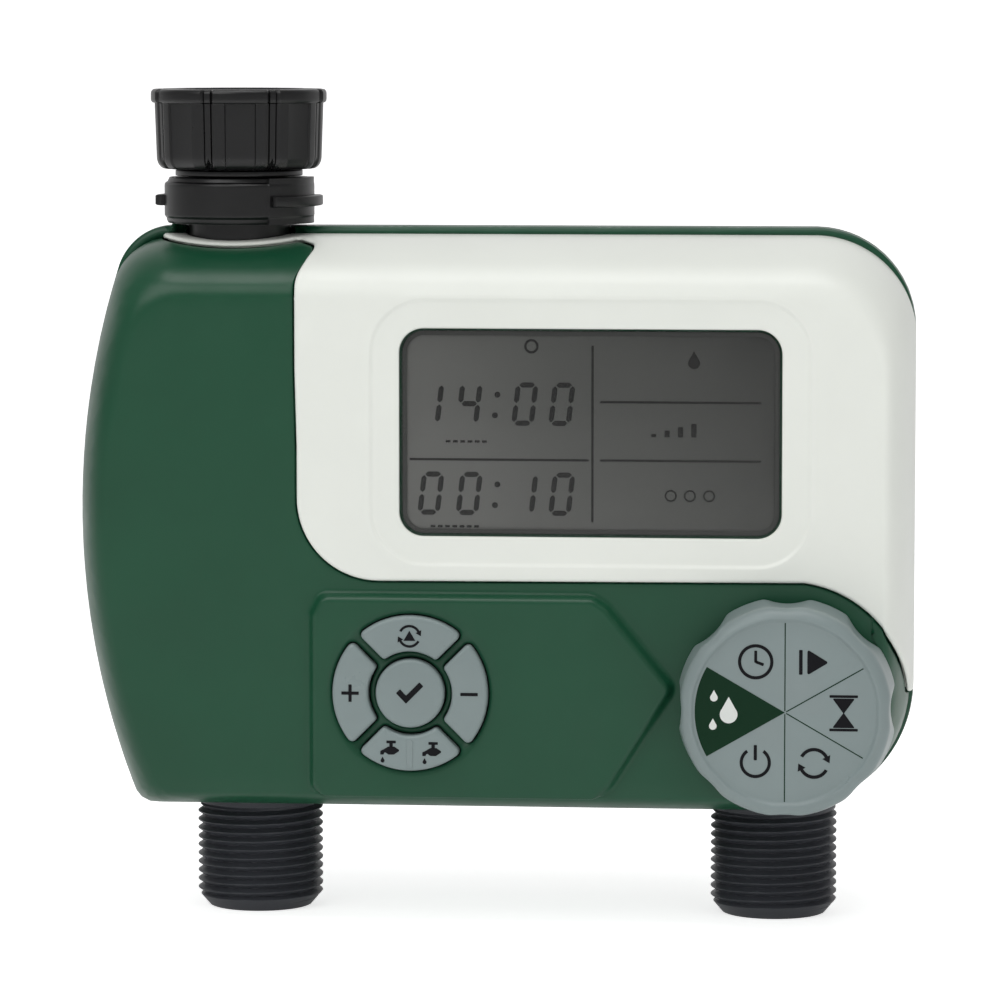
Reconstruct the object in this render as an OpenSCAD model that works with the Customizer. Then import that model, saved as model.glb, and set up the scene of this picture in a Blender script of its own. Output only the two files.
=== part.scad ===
// Two-outlet hose-tap irrigation controller: swivel inlet, display, keypad, dial, two solenoid valves.
// Millimetres, +Z up, front towards -Y, +X to the viewer's right.
// The origin is the centre of the inlet washer's upper face, on the inlet axis.

/* [Case] */
// Width of the case
body_w = 175.4; // [173:0.2:178]
// Height of the case, rear shell
body_h = 122.1; // [121:0.1:124]
// Depth of the front half, from the parting plane
front_depth = 27; // [26.5:0.5:28]
// Depth of the rear half, from the parting plane
rear_depth = 28; // [28:0.5:30]
// Distance from the case's left edge to the inlet axis
inlet_inset = 33.5; // [33:0.1:34.5]
// Wall of the shells at the parting plane
wall = 3.4; // [3.2:0.1:3.6]
// Radius of the bowed left side
left_arc_r = 168; // [160:1:180]
// Height that the rear shell stands above the front at the top
rear_step = 1.8; // [1:0.1:2.2]

/* [Inlet and outlets] */
// Major diameter of the hose threads, G 3/4
thread_major_d = 26.44; // [26.4:0.01:26.48]
// Minor diameter of the hose threads
thread_minor_d = 24.12; // [24.1:0.01:24.14]
// Pitch of the hose threads
thread_pitch = 1.814; // [1.8:0.001:1.82]
// Distance between the two outlet axes
outlet_pitch = 108.8; // [108:0.2:109.6]
// Length of an outlet below the case
outlet_drop = 21.8; // [20:0.2:23]
// Bore of an outlet
outlet_bore_d = 18; // [17:0.5:18.5]
// Height of the inlet nut's mouth above the washer
nut_mouth = 11; // [11:0.5:12]

/* [Front panel] */
// Width of the display window
window_w = 78.5; // [76:0.5:79]
// Height of the display window
window_h = 42.7; // [41:0.1:43]
// Radius of the round keypad
keypad_r = 16.2; // [15.8:0.1:16.5]
// Radius of the dial's skirt
dial_r = 22.6; // [21.5:0.1:23]
// Height of the dial
dial_h = 10.8; // [10:0.2:12]
// Travel of a push key
key_travel = 0.8; // [0.4:0.1:1]

/* [Hidden] */
$fn = 64;

// Case outline
x_left = -inlet_inset;
x_right = x_left + body_w;
z_top = -17.6;
z_bottom = z_top - body_h;
z_front_top = z_top - rear_step;
arc_mid_z = z_top - 58.8;
corner_top_left = 12.5;
corner_top_right = 21;
corner_bottom_left = 5.5;
corner_bottom_right = 27;

// Surface levels, counted inwards from the fascia's outer face
fascia_level = 1.6;
green_level = 0.8;
recess_level = 1.9;
// How far each edge draws in between the parting plane and the flat front or rear face
front_draw = [9, 6, 12, 6];
rear_draw = [9, 9, 9, 9];
front_slices = 5;
rear_slices = 5;
slab = 0.02;

// Depths of the layers behind the front face, as Y
y_face = -front_depth;
y_green = y_face + green_level;
y_recess = y_face + recess_level;
y_inner = y_face + wall + green_level;
y_plateau = y_green - 2;
y_board = -17.5;
board_t = 1.6;

// Places on the front
window_x = 75.95;
window_z = -58.85;
window_corner = 5;
lens_ledge = 1;
display_front = -24.95;
display_t = 2.8;
keypad_x = 39.1;
keypad_z = -112.5;
dial_x = 116.5;
dial_z = -114.4;
dial_gap_y = 0.6;
fascia_left = 15.3;
fascia_bottom = -89.7;
fascia_corner = 17;
fascia_dial_r = 24.8;
tongue_r = 14.6;
spindle_r = 3;
running = 0.08;
gap = 0.3;

// Hydraulic places
outlet_x = [4, 4 + outlet_pitch];
valve_z = -112;
valve_r = 18;
valve_front = -13.5;
valve_rear = 5;
diaphragm_t = 1.5;
bonnet_t = 5;
coil_front = 12;
coil_rear = 23;
plunger_r = 3.92;
plunger_lift = 2.5;
cross_z = -82;
spigot_low = -96.3;
socket_floor = -96.5;
outlet_top = -127.8;
outlet_flange_z = [-133.6, -132.2];
outlet_flange_r = 13.6;
bonnet_half = 14.8;
duct_r = 4.6;
neck_r = 10.55;
pipe_r = 8;
pipe_bore_r = 5.5;
hub_r = 13.35;
thread_land = 0.36;

// Fasteners: X and Z of each, all along Y
case_screw_at = [[-18, -62], [-16, -125], [75, -128], [131, -87], [129, -40], [26, -31.5]];
board_screw_at = [[22, -38], [122, -50], [22, -88], [91, -124]];
bonnet_screw_r = 16.2;

// Battery bay, X and Z of its corners
bay_low = [44, -70];
bay_high = [108, -34];
bay_wall = 2;
bay_front = 2;
bay_rear = 25;
door_t = 2.4;
door_margin = 3;
cell_r = 7.2;
cell_len = 50.3;
cell_y = 15.5;

// Leads: routes chosen by hand
lead_r = 1.1;
lead_sides = 8;
coil_lead_route_left = [[14.5, 18, -112], [18, 18, -108], [25, 15, -103], [31, 6, -100], [34, -4, -100],
    [35, -10, -100], [35, -13.1, -100]];
coil_lead_route_right = [[102.3, 18, -112], [98, 18, -108], [91, 15, -103], [85, 6, -100],
    [82, -4, -100], [81, -10, -100], [81, -13.1, -100]];
battery_lead_route = [[60, -0.1, -50], [60, -3, -50], [59, -6, -51], [57, -9, -53], [56, -11, -54],
    [56, -13.1, -54]];

// Colours
green = [0.11, 0.33, 0.22];
white = [0.88, 0.90, 0.87];
grey = [0.55, 0.59, 0.58];
black = [0.16, 0.16, 0.17];
rubber = [0.08, 0.08, 0.08];
steel = [0.72, 0.73, 0.75];
brass = [0.78, 0.62, 0.30];
copper = [0.72, 0.40, 0.22];
dark_glass = [0.33, 0.34, 0.34];
board_green = [0.05, 0.30, 0.16];

// Points along an arc, end points included
function arc(c, r, a0, a1, n) =
    [for (i = [0:n]) let (a = a0 + (a1 - a0) * i / n) [c.x + r * cos(a), c.y + r * sin(a)]];

// Centre of a corner round that touches the bowed side from inside, at height z
function corner_on_bow(z, r) =
    [x_left + left_arc_r - sqrt(pow(left_arc_r - r, 2) - pow(arc_mid_z - z, 2)), z];

// The case seen from the front: bowed left side, flat top, right and bottom
function case_outline(top) =
    let (
        bow = [x_left + left_arc_r, arc_mid_z],
        tl = corner_on_bow(top - corner_top_left, corner_top_left),
        bl = corner_on_bow(z_bottom + corner_bottom_left, corner_bottom_left),
        a_tl = 180 - asin((tl.y - bow.y) / (left_arc_r - corner_top_left)),
        a_bl = 180 + asin((bow.y - bl.y) / (left_arc_r - corner_bottom_left))
    )
    concat(
        arc([x_right - corner_top_right, top - corner_top_right], corner_top_right, 0, 90, 8),
        arc(tl, corner_top_left, 90, a_tl, 5),
        arc(bow, left_arc_r, a_tl + 1, a_bl - 1, 9),
        arc(bl, corner_bottom_left, a_bl, 270, 5),
        arc([x_right - corner_bottom_right, z_bottom + corner_bottom_right],
            corner_bottom_right, 270, 360, 8)
    );

// An outline with its four sides drawn in by [left, right, top, bottom]
function drawn_in(points, top, d) =
    let (
        w = x_right - x_left,
        h = top - z_bottom,
        kx = (w - d[0] - d[1]) / w,
        kz = (h - d[2] - d[3]) / h
    )
    [for (p = points) [x_left + d[0] + (p.x - x_left) * kx, z_bottom + d[3] + (p.y - z_bottom) * kz]];

function rounded_box(x0, z0, x1, z1, r) = concat(
    arc([x1 - r, z1 - r], r, 0, 90, 6),
    arc([x0 + r, z1 - r], r, 90, 180, 6),
    arc([x0 + r, z0 + r], r, 180, 270, 6),
    arc([x1 - r, z0 + r], r, 270, 360, 6)
);

// A flat outline in X and Z, thickened towards -Y from y_back
module plate(y_back, t)
    translate([0, y_back, 0]) rotate([90, 0, 0]) linear_extrude(t) children();

// A round bar along Y
module bar_y(x, z, r, y0, y1)
    translate([x, y1, z]) rotate([90, 0, 0]) cylinder(r = r, h = y1 - y0);

// A round bar along Z
module bar_z(x, y, r, z0, z1)
    translate([x, y, z0]) cylinder(r = r, h = z1 - z0);

// A box between two corners
module block(low, high)
    translate(low) cube(high - low);

// A flat ring along Z
module ring_z(x, y, r_in, r_out, z0, z1)
    translate([x, y, z0])
        rotate_extrude()
            translate([r_in, 0]) square([r_out - r_in, z1 - z0]);

// A flat ring along Y
module ring_y(x, z, r_in, r_out, y0, y1)
    translate([x, y1, z])
        rotate([90, 0, 0])
            rotate_extrude()
                translate([r_in, 0]) square([r_out - r_in, y1 - y0]);

// The front half's solid form, level millimetres inside the fascia's outer face
module front_form(level)
    hull()
        for (k = [0:front_slices]) {
            a = 90 * k / front_slices;
            inset = [for (d = front_draw) level + (d - level * 0.4) * (1 - cos(a))];
            plate(-(front_depth - level) * sin(a), slab)
                polygon(drawn_in(case_outline(z_front_top), z_front_top, inset));
        }

// The rear half's solid form, level millimetres inside its outer face
module rear_form(level, top)
    hull()
        for (k = [0:rear_slices]) {
            a = 90 * k / rear_slices;
            inset = [for (d = rear_draw) level + d * (1 - pow(cos(a), 0.7))];
            plate((rear_depth - level) * pow(sin(a), 0.7) + slab, slab)
                polygon(drawn_in(case_outline(top), top, inset));
        }

// The part of the front that the fascia covers, seen from the front
function fascia_outline() = concat(
    [[3, z_front_top + 4], [3, -20.9], [13.4, -20.6], [16.9, -21.6], [15.8, -23.8],
        [fascia_left - 0.4, -27], [fascia_left - 0.4, -46], [fascia_left, -62]],
    arc([fascia_left + fascia_corner, fascia_bottom + fascia_corner], fascia_corner, 180, 270, 8),
    arc([dial_x, fascia_bottom - fascia_dial_r + 0.6], fascia_dial_r, 82, 8, 10),
    [[x_right + 3, dial_z + 4], [x_right + 3, z_front_top + 4]]
);

module fascia_zone() {
    plate(1, front_depth + 4)
        polygon(fascia_outline());
    bar_z(0, 0, tongue_r, -24, -12);
}

module window_hole(margin, r)
    plate(0, front_depth + 4)
        polygon(rounded_box(window_x - window_w / 2 + margin, window_z - window_h / 2 + margin,
            window_x + window_w / 2 - margin, window_z + window_h / 2 - margin, r));

// The raised six-sided panel that carries the keypad and points at the dial
module keypad_plateau()
    plate(y_green + 1, 3)
        polygon([[18.4, -96.5], [20.4, -92.6], [76.5, -92.6], [79.4, -94.4], [93.2, -111.2],
            [80.4, -131.5], [77.4, -134.2], [20.2, -134.2], [18.4, -132]]);

function ring_teeth(z_from, count, root, crest) = [
    for (i = [0:count - 1])
        let (z = z_from - i * thread_pitch, rise = (thread_pitch - 2 * thread_land) / 2)
        each [[root, z], [crest, z - rise], [crest, z - rise - thread_land],
            [root, z - 2 * rise - thread_land]]
];

// ---- Inlet ----

module inlet_nut() {
    bottom = -5.66;
    lobes = 8;
    barrel_r = 17.5;
    flange_r = 18.35;
    lobe = [[-22.5, 16.5], [-20.9, 16.5], [-19.6, barrel_r], [-11.3, barrel_r], [-11, 17.15],
        [0, 16.85], [11, 17.15], [11.3, barrel_r], [19.6, barrel_r], [20.9, 16.5]];
    teeth = 6;
    first_tooth = 1.13 + (teeth - 1) * thread_pitch;
    root = thread_major_d / 2 + 0.1;
    color(black)
        difference() {
            union() {
                translate([0, 0, bottom])
                    linear_extrude(nut_mouth - bottom)
                        polygon([for (i = [0:lobes - 1]) for (p = lobe)
                            let (a = 360 / lobes * i - 90 + p[0]) [p[1] * cos(a), p[1] * sin(a)]]);
                ring_z(0, 0, 15, flange_r, nut_mouth - 3, nut_mouth);
            }
            rotate_extrude()
                polygon(concat(
                    [[0, nut_mouth + 1], [root + 0.7, nut_mouth + 1], [root, nut_mouth - 0.6]],
                    ring_teeth(first_tooth, teeth, root, thread_minor_d / 2),
                    [[root, -0.5], [12.3, -0.9], [12.3, -3.8], [0, -3.8]]
                ));
            bar_z(0, 0, 10.35, bottom - 1, 0);
            ring_z(0, 0, 17, 20, bottom - 1, bottom + 0.8);
        }
}

module inlet_washer()
    color(rubber) ring_z(0, 0, 7.6, 11.8, -2, 0);

module inlet_filter()
    color([0.8, 0.8, 0.76])
        rotate_extrude()
            polygon([[5.4, -2], [8.95, -2], [8.95, -2.8], [7.3, -2.8], [6.2, -14], [0, -14],
                [0, -13.4], [5.7, -13.4], [6.7, -2.8], [5.4, -2.6]]);

module inlet_tailpiece()
    color(black)
        rotate_extrude()
            polygon([[9.05, -2], [11.8, -2], [11.8, -3.6], [10.2, -3.6], [10.2, -5.95],
                [hub_r, -5.95], [hub_r, -7.1], [neck_r, -7.1], [neck_r, -23], [9.7, -23],
                [9.7, -28], [8.75, -28], [8.75, -30.2], [9.7, -30.2], [9.7, -35.4], [9.2, -36],
                [7.6, -36], [7.6, -2.8], [9.05, -2.8]]);

module tailpiece_seal()
    color(rubber) ring_z(0, 0, 8.78, 9.78, -30.1, -28.1);

module union_collar() {
    collar_r = 15.8;
    lug_r = 17.6;
    lug_span = 67;
    lug_far = 30;
    color(black)
        union() {
            rotate_extrude()
                polygon([[neck_r + running, -7.4], [14.9, -7.4], [15.4, -8.4], [collar_r, -8.6],
                    [collar_r, -15.6], [15.3, -15.9], [14.9, -17], [neck_r + running, -17]]);
            for (side = [0, 180])
                rotate([0, 0, side - lug_span / 2])
                    intersection() {
                        ring_z(0, 0, collar_r - 1, lug_r, -13.4, -11.1);
                        linear_extrude(40, center = true)
                            polygon([[0, 0], lug_far * [cos(lug_span / 2), -sin(lug_span / 2)],
                                lug_far * [cos(lug_span / 2), sin(lug_span / 2)]]);
                    }
        }
}

// ---- Water path ----

module manifold() {
    elbow_low = cross_z - 4.5;
    elbow_high = cross_z + 8.6;
    color(black)
        difference() {
            union() {
                bar_z(0, 0, 12, -38, -26);
                bar_z(0, 0, pipe_r, cross_z, -36);
                translate([0, 0, cross_z])
                    rotate([0, 90, 0])
                        cylinder(r = pipe_r, h = outlet_x[1]);
                for (x = outlet_x)
                    bar_z(x, 0, pipe_r - 0.02, spigot_low, cross_z);
                bar_z(0, 0, 11, elbow_low, elbow_high);
                bar_z(outlet_x[1], 0, 9, elbow_low, elbow_high);
            }
            bar_z(0, 0, 9.8, -36.5, -20);
            bar_z(0, 0, pipe_bore_r, cross_z, -30);
            translate([0, 0, cross_z])
                rotate([0, 90, 0])
                    cylinder(r = pipe_bore_r, h = outlet_x[1]);
            for (x = outlet_x) {
                bar_z(x, 0, pipe_bore_r, spigot_low - 1, cross_z);
                ring_z(x, 0, 6.8, 9, -95.2, -93);
            }
        }
}

module manifold_seals()
    color(rubber)
        for (x = outlet_x)
            ring_z(x, 0, 6.83, 8.06, -95.1, -93.1);

// Solenoid valve block: inlet from above, annular chamber, seat on the Y axis, outlet below
module valve_body(x)
    color(black)
        difference() {
            union() {
                bar_y(x, valve_z, valve_r, valve_front, valve_rear);
                bar_z(x, 0, 10, valve_z, -91);
                bar_z(x, 0, 11.5, outlet_flange_z[1], valve_z);
            }
            // Flat seat for the diaphragm and the bonnet
            block([x - valve_r - 1, valve_rear, valve_z - bonnet_half - 0.15],
                [x + valve_r + 1, valve_rear + 20, valve_z + bonnet_half + 0.15]);
            ring_y(x, valve_z, 6, 12, -4, valve_rear + 1);
            bar_y(x, valve_z, 4, -9, valve_rear + 1);
            bar_z(x, -8, 3, -129, valve_z);
            bar_z(x, 0, 9.1, outlet_flange_z[0], outlet_top + 0.2);
            bar_z(x, 0, 8.1, socket_floor, -90);
            bar_z(x, 0, duct_r, valve_z + 8, -90);
            for (a = [45:90:315])
                bar_y(x + bonnet_screw_r * cos(a), valve_z + bonnet_screw_r * sin(a), 1.12, -4,
                    valve_rear + 1);
        }

module valve_body_left() valve_body(outlet_x[0]);
module valve_body_right() valve_body(outlet_x[1]);

// Threaded outlet: rings of thread below the case, a flange and a sealed spigot inside it
module outlet(x) {
    z_end = z_bottom - outlet_drop;
    teeth = 11;
    root = thread_minor_d / 2;
    color(black)
        translate([x, 0, 0])
            rotate_extrude()
                polygon(concat(
                    [[7, outlet_top], [8.98, outlet_top], [8.98, -129.4], [7.9, -129.4],
                        [7.9, -131.6], [8.98, -131.6], [8.98, outlet_flange_z[1] - 0.05],
                        [outlet_flange_r, outlet_flange_z[1] - 0.05],
                        [outlet_flange_r, outlet_flange_z[0]], [13, outlet_flange_z[0]],
                        [13, z_bottom + 0.4], [root, z_bottom + 0.2]],
                    ring_teeth(z_bottom - 0.1, teeth, root, thread_major_d / 2),
                    [[root, z_end + 0.7], [root - 0.7, z_end], [outlet_bore_d / 2 + 0.4, z_end],
                        [outlet_bore_d / 2, z_end + 0.4], [outlet_bore_d / 2, -137.5], [7, -136]]
                ));
}

module outlet_left() outlet(outlet_x[0]);
module outlet_right() outlet(outlet_x[1]);

module outlet_seals()
    color(rubber)
        for (x = outlet_x)
            ring_z(x, 0, 7.93, 9.06, -131.5, -129.5);

module diaphragm(x)
    color(rubber)
        union() {
            bar_y(x, valve_z, 14.6, valve_rear, valve_rear + diaphragm_t);
            ring_y(x, valve_z, 2, 6.5, valve_rear + diaphragm_t - 0.2, valve_rear + 3);
        }

module diaphragm_left() diaphragm(outlet_x[0]);
module diaphragm_right() diaphragm(outlet_x[1]);

// Valve cover with the blind tube that the plunger slides in
module bonnet(x) {
    y0 = valve_rear + diaphragm_t;
    color(black)
        difference() {
            union() {
                plate(y0 + bonnet_t, bonnet_t)
                    polygon(rounded_box(x - bonnet_half, valve_z - bonnet_half, x + bonnet_half,
                        valve_z + bonnet_half, 4));
                bar_y(x, valve_z, 4.9, y0, coil_rear + 0.6);
            }
            bar_y(x, valve_z, 11, y0 - 1, y0 + 2.6);
            bar_y(x, valve_z, plunger_r + running, y0 - 1, coil_rear - 0.4);
            for (a = [45:90:315])
                bar_y(x + bonnet_screw_r * cos(a), valve_z + bonnet_screw_r * sin(a), 1.3, y0 - 1,
                    y0 + bonnet_t + 1);
        }
}

module bonnet_left() bonnet(outlet_x[0]);
module bonnet_right() bonnet(outlet_x[1]);

module bonnet_screws()
    color(steel)
        for (x = outlet_x)
            for (a = [45:90:315]) {
                y_head = valve_rear + diaphragm_t + bonnet_t;
                sx = x + bonnet_screw_r * cos(a);
                sz = valve_z + bonnet_screw_r * sin(a);
                difference() {
                    union() {
                        bar_y(sx, sz, 1.1, -3, y_head + 0.5);
                        bar_y(sx, sz, 1.75, y_head, y_head + 1.4);
                    }
                    block([sx - 1.3, y_head + 0.8, sz - 0.25], [sx + 1.3, y_head + 2, sz + 0.25]);
                }
            }

module coil(x)
    color(copper)
        union() {
            ring_y(x, valve_z, 4.95, 9.5, coil_front, coil_rear);
            ring_y(x, valve_z, 4.95, 10.2, coil_front, coil_front + 1);
            ring_y(x, valve_z, 4.95, 10.2, coil_rear - 1, coil_rear);
        }

module coil_left() coil(outlet_x[0]);
module coil_right() coil(outlet_x[1]);

module plunger(x)
    color(steel)
        difference() {
            union() {
                bar_y(x, valve_z, plunger_r, 10.6, 19);
                bar_y(x, valve_z, 1.2, 9.2, 11);
            }
            bar_y(x, valve_z, 2.4, 16.5, 20);
        }

module plunger_left() plunger(outlet_x[0]);
module plunger_right() plunger(outlet_x[1]);

// Return spring as closed rings one wire apart, each joined to the next by a short riser
module plunger_spring(x) {
    wire = 0.4;
    turns = 5;
    rise = 1.38;
    color(steel)
        union() {
            for (i = [0:turns - 1])
                ring_y(x, valve_z, 1.7, 2.2, 16.6 + i * rise, 16.6 + i * rise + wire);
            for (i = [0:turns - 2])
                block([x + (i % 2 == 0 ? 1.75 : -2.15), 16.7 + i * rise, valve_z - 0.2],
                    [x + (i % 2 == 0 ? 2.15 : -1.75), 16.8 + (i + 1) * rise, valve_z + 0.2]);
        }
}

module plunger_spring_left() plunger_spring(outlet_x[0]);
module plunger_spring_right() plunger_spring(outlet_x[1]);

// ---- Leads ----

function unit(v) = v / norm(v);

// A round lead swept along a route, with a flat ring of points at each stop
module lead(route) {
    last = len(route) - 1;
    rings = [for (i = [0:last])
        let (
            along = unit(route[min(i + 1, last)] - route[max(i - 1, 0)]),
            side = unit(cross(along, [0, 0, 1])),
            up = cross(side, along)
        )
        for (j = [0:lead_sides - 1])
            let (a = 360 * j / lead_sides)
            route[i] + lead_r * (cos(a) * side + sin(a) * up)];
    walls = [for (i = [0:last - 1]) for (j = [0:lead_sides - 1])
        let (a = i * lead_sides + j, b = i * lead_sides + (j + 1) % lead_sides)
        each [[a, b, b + lead_sides], [a, b + lead_sides, a + lead_sides]]];
    start = [[for (j = [lead_sides - 1:-1:0]) j]];
    end = [[for (j = [0:lead_sides - 1]) last * lead_sides + j]];
    polyhedron(points = rings, faces = concat(walls, start, end), convexity = 4);
}

module coil_leads()
    color([0.5, 0.08, 0.08]) {
        lead(coil_lead_route_left);
        lead(coil_lead_route_right);
    }

module battery_lead()
    color([0.5, 0.08, 0.08]) lead(battery_lead_route);

module lead_connectors()
    color(white)
        for (p = [coil_lead_route_left[6], coil_lead_route_right[6], battery_lead_route[5]])
            block([p.x - 2.5, y_board + board_t, p.z - 1.8], [p.x + 2.5, p.y, p.z + 1.8]);

// ---- Case ----

module neck_and_outlet_holes() {
    bar_z(0, 0, neck_r + 0.25, -30, -10);
    for (x = outlet_x) {
        bar_z(x, 0, thread_major_d / 2 + 0.3, z_bottom - 5, z_bottom + 8);
        bar_z(x, 0, outlet_flange_r + 0.3, outlet_flange_z[0] - 0.3, z_bottom + 12);
    }
}

module seal_path(margin_in, margin_out, y_back, t)
    plate(y_back, t)
        difference() {
            polygon(drawn_in(case_outline(z_front_top), z_front_top,
                [margin_out, margin_out, margin_out, margin_out]));
            polygon(drawn_in(case_outline(z_front_top), z_front_top,
                [margin_in, margin_in, margin_in, margin_in]));
        }

module seal_gaps() {
    block([-13, -2, -40], [13, 3, -10]);
    for (x = outlet_x)
        block([x - 16, -2, z_bottom - 2], [x + 16, 3, z_bottom + 12]);
}

module case_seal()
    color(rubber)
        difference() {
            seal_path(2.2, 1.2, 0.9, 0.9);
            seal_gaps();
        }

module front_housing()
    color(green)
        difference() {
            union() {
                difference() {
                    union() {
                        front_form(recess_level);
                        difference() {
                            front_form(green_level);
                            fascia_zone();
                        }
                        keypad_plateau();
                    }
                    front_form(wall + green_level);
                }
                intersection() {
                    front_form(recess_level);
                    union() {
                        for (p = case_screw_at)
                            bar_y(p.x, p.y, 3.6, -26, 0);
                        for (p = board_screw_at)
                            bar_y(p.x, p.y, 3, -26, y_board);
                    }
                }
            }
            neck_and_outlet_holes();
            window_hole(lens_ledge, window_corner - lens_ledge);
            for (p = case_screw_at)
                bar_y(p.x, p.y, 1.52, -14, 1);
            for (p = board_screw_at)
                bar_y(p.x, p.y, 1.02, -22, 1);
            // Round well for the keys, with a floor and guide holes
            bar_y(keypad_x, keypad_z, keypad_r + gap, -40, y_green + 0.6);
            key_guide_holes(0.2);
            // Spindle hole and its seal pocket
            bar_y(dial_x, dial_z, spindle_r + running, -40, 0);
            bar_y(dial_x, dial_z, 5.02, -40, y_green + 1.6);
        }

module front_fascia()
    color(white)
        difference() {
            intersection() {
                difference() {
                    front_form(0);
                    front_form(fascia_level);
                }
                fascia_zone();
            }
            window_hole(0, window_corner);
            neck_and_outlet_holes();
        }

module rear_housing() {
    flange = 5;
    color(green)
        difference() {
            union() {
                difference() {
                    rear_form(0, z_top);
                    rear_form(wall, z_front_top);
                }
                intersection() {
                    rear_form(0.5, z_top);
                    union() {
                        for (p = case_screw_at)
                            bar_y(p.x, p.y, 4.6, slab, rear_depth);
                        block([bay_low.x - bay_wall, slab, bay_low.y - bay_wall],
                            [bay_high.x + bay_wall, bay_rear, bay_high.y + bay_wall]);
                        block([bay_low.x - flange, bay_rear - 3, bay_low.y - flange],
                            [bay_high.x + flange, bay_rear, bay_high.y + flange]);
                    }
                }
            }
            block([bay_low.x, bay_front, bay_low.y], [bay_high.x, rear_depth + 1, bay_high.y]);
            block([bay_low.x - door_margin - 0.25, bay_rear, bay_low.y - door_margin - 0.25],
                [bay_high.x + door_margin + 0.25, rear_depth + 1, bay_high.y + door_margin + 0.25]);
            // Seat for the gasket round the bay's mouth
            block([bay_low.x - 1.6, bay_rear - 0.6, bay_low.y - 1.6],
                [bay_high.x + 1.6, bay_rear + 1, bay_high.y + 1.6]);
            neck_and_outlet_holes();
            for (p = case_screw_at) {
                bar_y(p.x, p.y, 1.7, -1, rear_depth + 1);
                bar_y(p.x, p.y, 3.3, rear_depth - 5, rear_depth + 1);
            }
            seal_path(2.3, 1.1, 1, 1.2);
        }
}

module case_screws()
    color(steel)
        for (p = case_screw_at) {
            y_seat = rear_depth - 5;
            difference() {
                union() {
                    bar_y(p.x, p.y, 1.5, -12, y_seat + 0.5);
                    bar_y(p.x, p.y, 3, y_seat, y_seat + 2.2);
                }
                block([p.x - 1.9, y_seat + 1.1, p.y - 0.35], [p.x + 1.9, y_seat + 3, p.y + 0.35]);
                block([p.x - 0.35, y_seat + 1.1, p.y - 1.9], [p.x + 0.35, y_seat + 3, p.y + 1.9]);
            }
        }

// ---- Display and electronics ----

module display_lens() {
    m = 0.2;
    color(dark_glass)
        plate(y_recess - 0.1, 1.5)
            polygon(rounded_box(window_x - window_w / 2 + m, window_z - window_h / 2 + m,
                window_x + window_w / 2 - m, window_z + window_h / 2 - m, window_corner - m));
}

module display_frame() {
    half_w = 41;
    half_h = 23.2;
    y_back = y_board - 0.05;
    color(white)
        difference() {
            block([window_x - half_w, y_inner + 0.1, window_z - half_h],
                [window_x + half_w, y_back, window_z + half_h]);
            block([window_x - half_w + 2.6, y_inner - 1, window_z - half_h + 2.6],
                [window_x + half_w - 2.6, display_front + display_t, window_z + half_h - 2.6]);
            block([window_x - half_w + 5, y_inner, window_z - half_h + 5],
                [window_x + half_w - 5, y_back + 1, window_z + half_h - 5]);
        }
}

module display_glass() {
    m = lens_ledge + 0.2;
    color([0.42, 0.43, 0.42])
        plate(display_front + display_t, display_t)
            polygon(rounded_box(window_x - window_w / 2 + m, window_z - window_h / 2 + m,
                window_x + window_w / 2 - m, window_z + window_h / 2 - m, window_corner - m));
}

module circuit_board()
    color(board_green)
        difference() {
            plate(y_board + board_t, board_t)
                polygon([[18, -34.5], [126, -34.5], [126, -122], [121, -127.5], [18, -127.5]]);
            for (p = board_screw_at)
                bar_y(p.x, p.y, 1.3, -20, -10);
            bar_y(dial_x, dial_z, spindle_r + 0.3, -20, -10);
            for (p = case_screw_at)
                bar_y(p.x, p.y, 5.2, -20, -10);
        }

module board_screws()
    color(steel)
        for (p = board_screw_at) {
            y_seat = y_board + board_t;
            difference() {
                union() {
                    bar_y(p.x, p.y, 1, -21, y_seat + 0.3);
                    bar_y(p.x, p.y, 2, y_seat, y_seat + 1.3);
                }
                block([p.x - 1.5, y_seat + 0.7, p.y - 0.25], [p.x + 1.5, y_seat + 2, p.y + 0.25]);
            }
        }

key_centres = [[0, 12.4], [-12.4, 0], [12.4, 0], [0, 0], [-6.4, -11.4], [6.4, -11.4]];

module tact_switches()
    color(black)
        for (p = key_centres) {
            x = keypad_x + p.x;
            z = keypad_z + p.y;
            block([x - 2.6, y_board - 2.4, z - 2.6], [x + 2.6, y_board - 0.02, z + 2.6]);
            bar_y(x, z, 1.5, y_board - 3.1, y_board - 2);
        }

module rotary_switch()
    color([0.12, 0.2, 0.4])
        difference() {
            union() {
                bar_y(dial_x, dial_z, 7.5, y_board - 3.4, y_board - 0.02);
                bar_y(dial_x, dial_z, 4.6, y_board - 5, y_board - 3);
            }
            bar_y(dial_x, dial_z, spindle_r + running, y_board - 6, y_board + 1);
        }

module keypad_mat() {
    span = 15.5;
    color([0.25, 0.26, 0.28])
        plate(y_inner + 2, 0.6)
            polygon(rounded_box(keypad_x - span, keypad_z - span, keypad_x + span, keypad_z + span, 4));
}

// ---- Keys ----

key_top = y_plateau - 1.7;
key_back = y_green - 0.9;
stem_end = y_inner + 0.4;
key_inner_r = 8.75;
confirm_r = 7.1;
key_slit = 2.05;
rocker_y = -27.5;
rocker_z = keypad_z - 11.4;

module key_guide_holes(slack) {
    for (i = [0:3])
        bar_y(keypad_x + key_centres[i].x, keypad_z + key_centres[i].y, 2.2 + slack, -40, 0);
    for (i = [4:5])
        bar_y(keypad_x + key_centres[i].x, keypad_z + key_centres[i].y, 1.6 + slack + 0.3, -40, 0);
}

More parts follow.
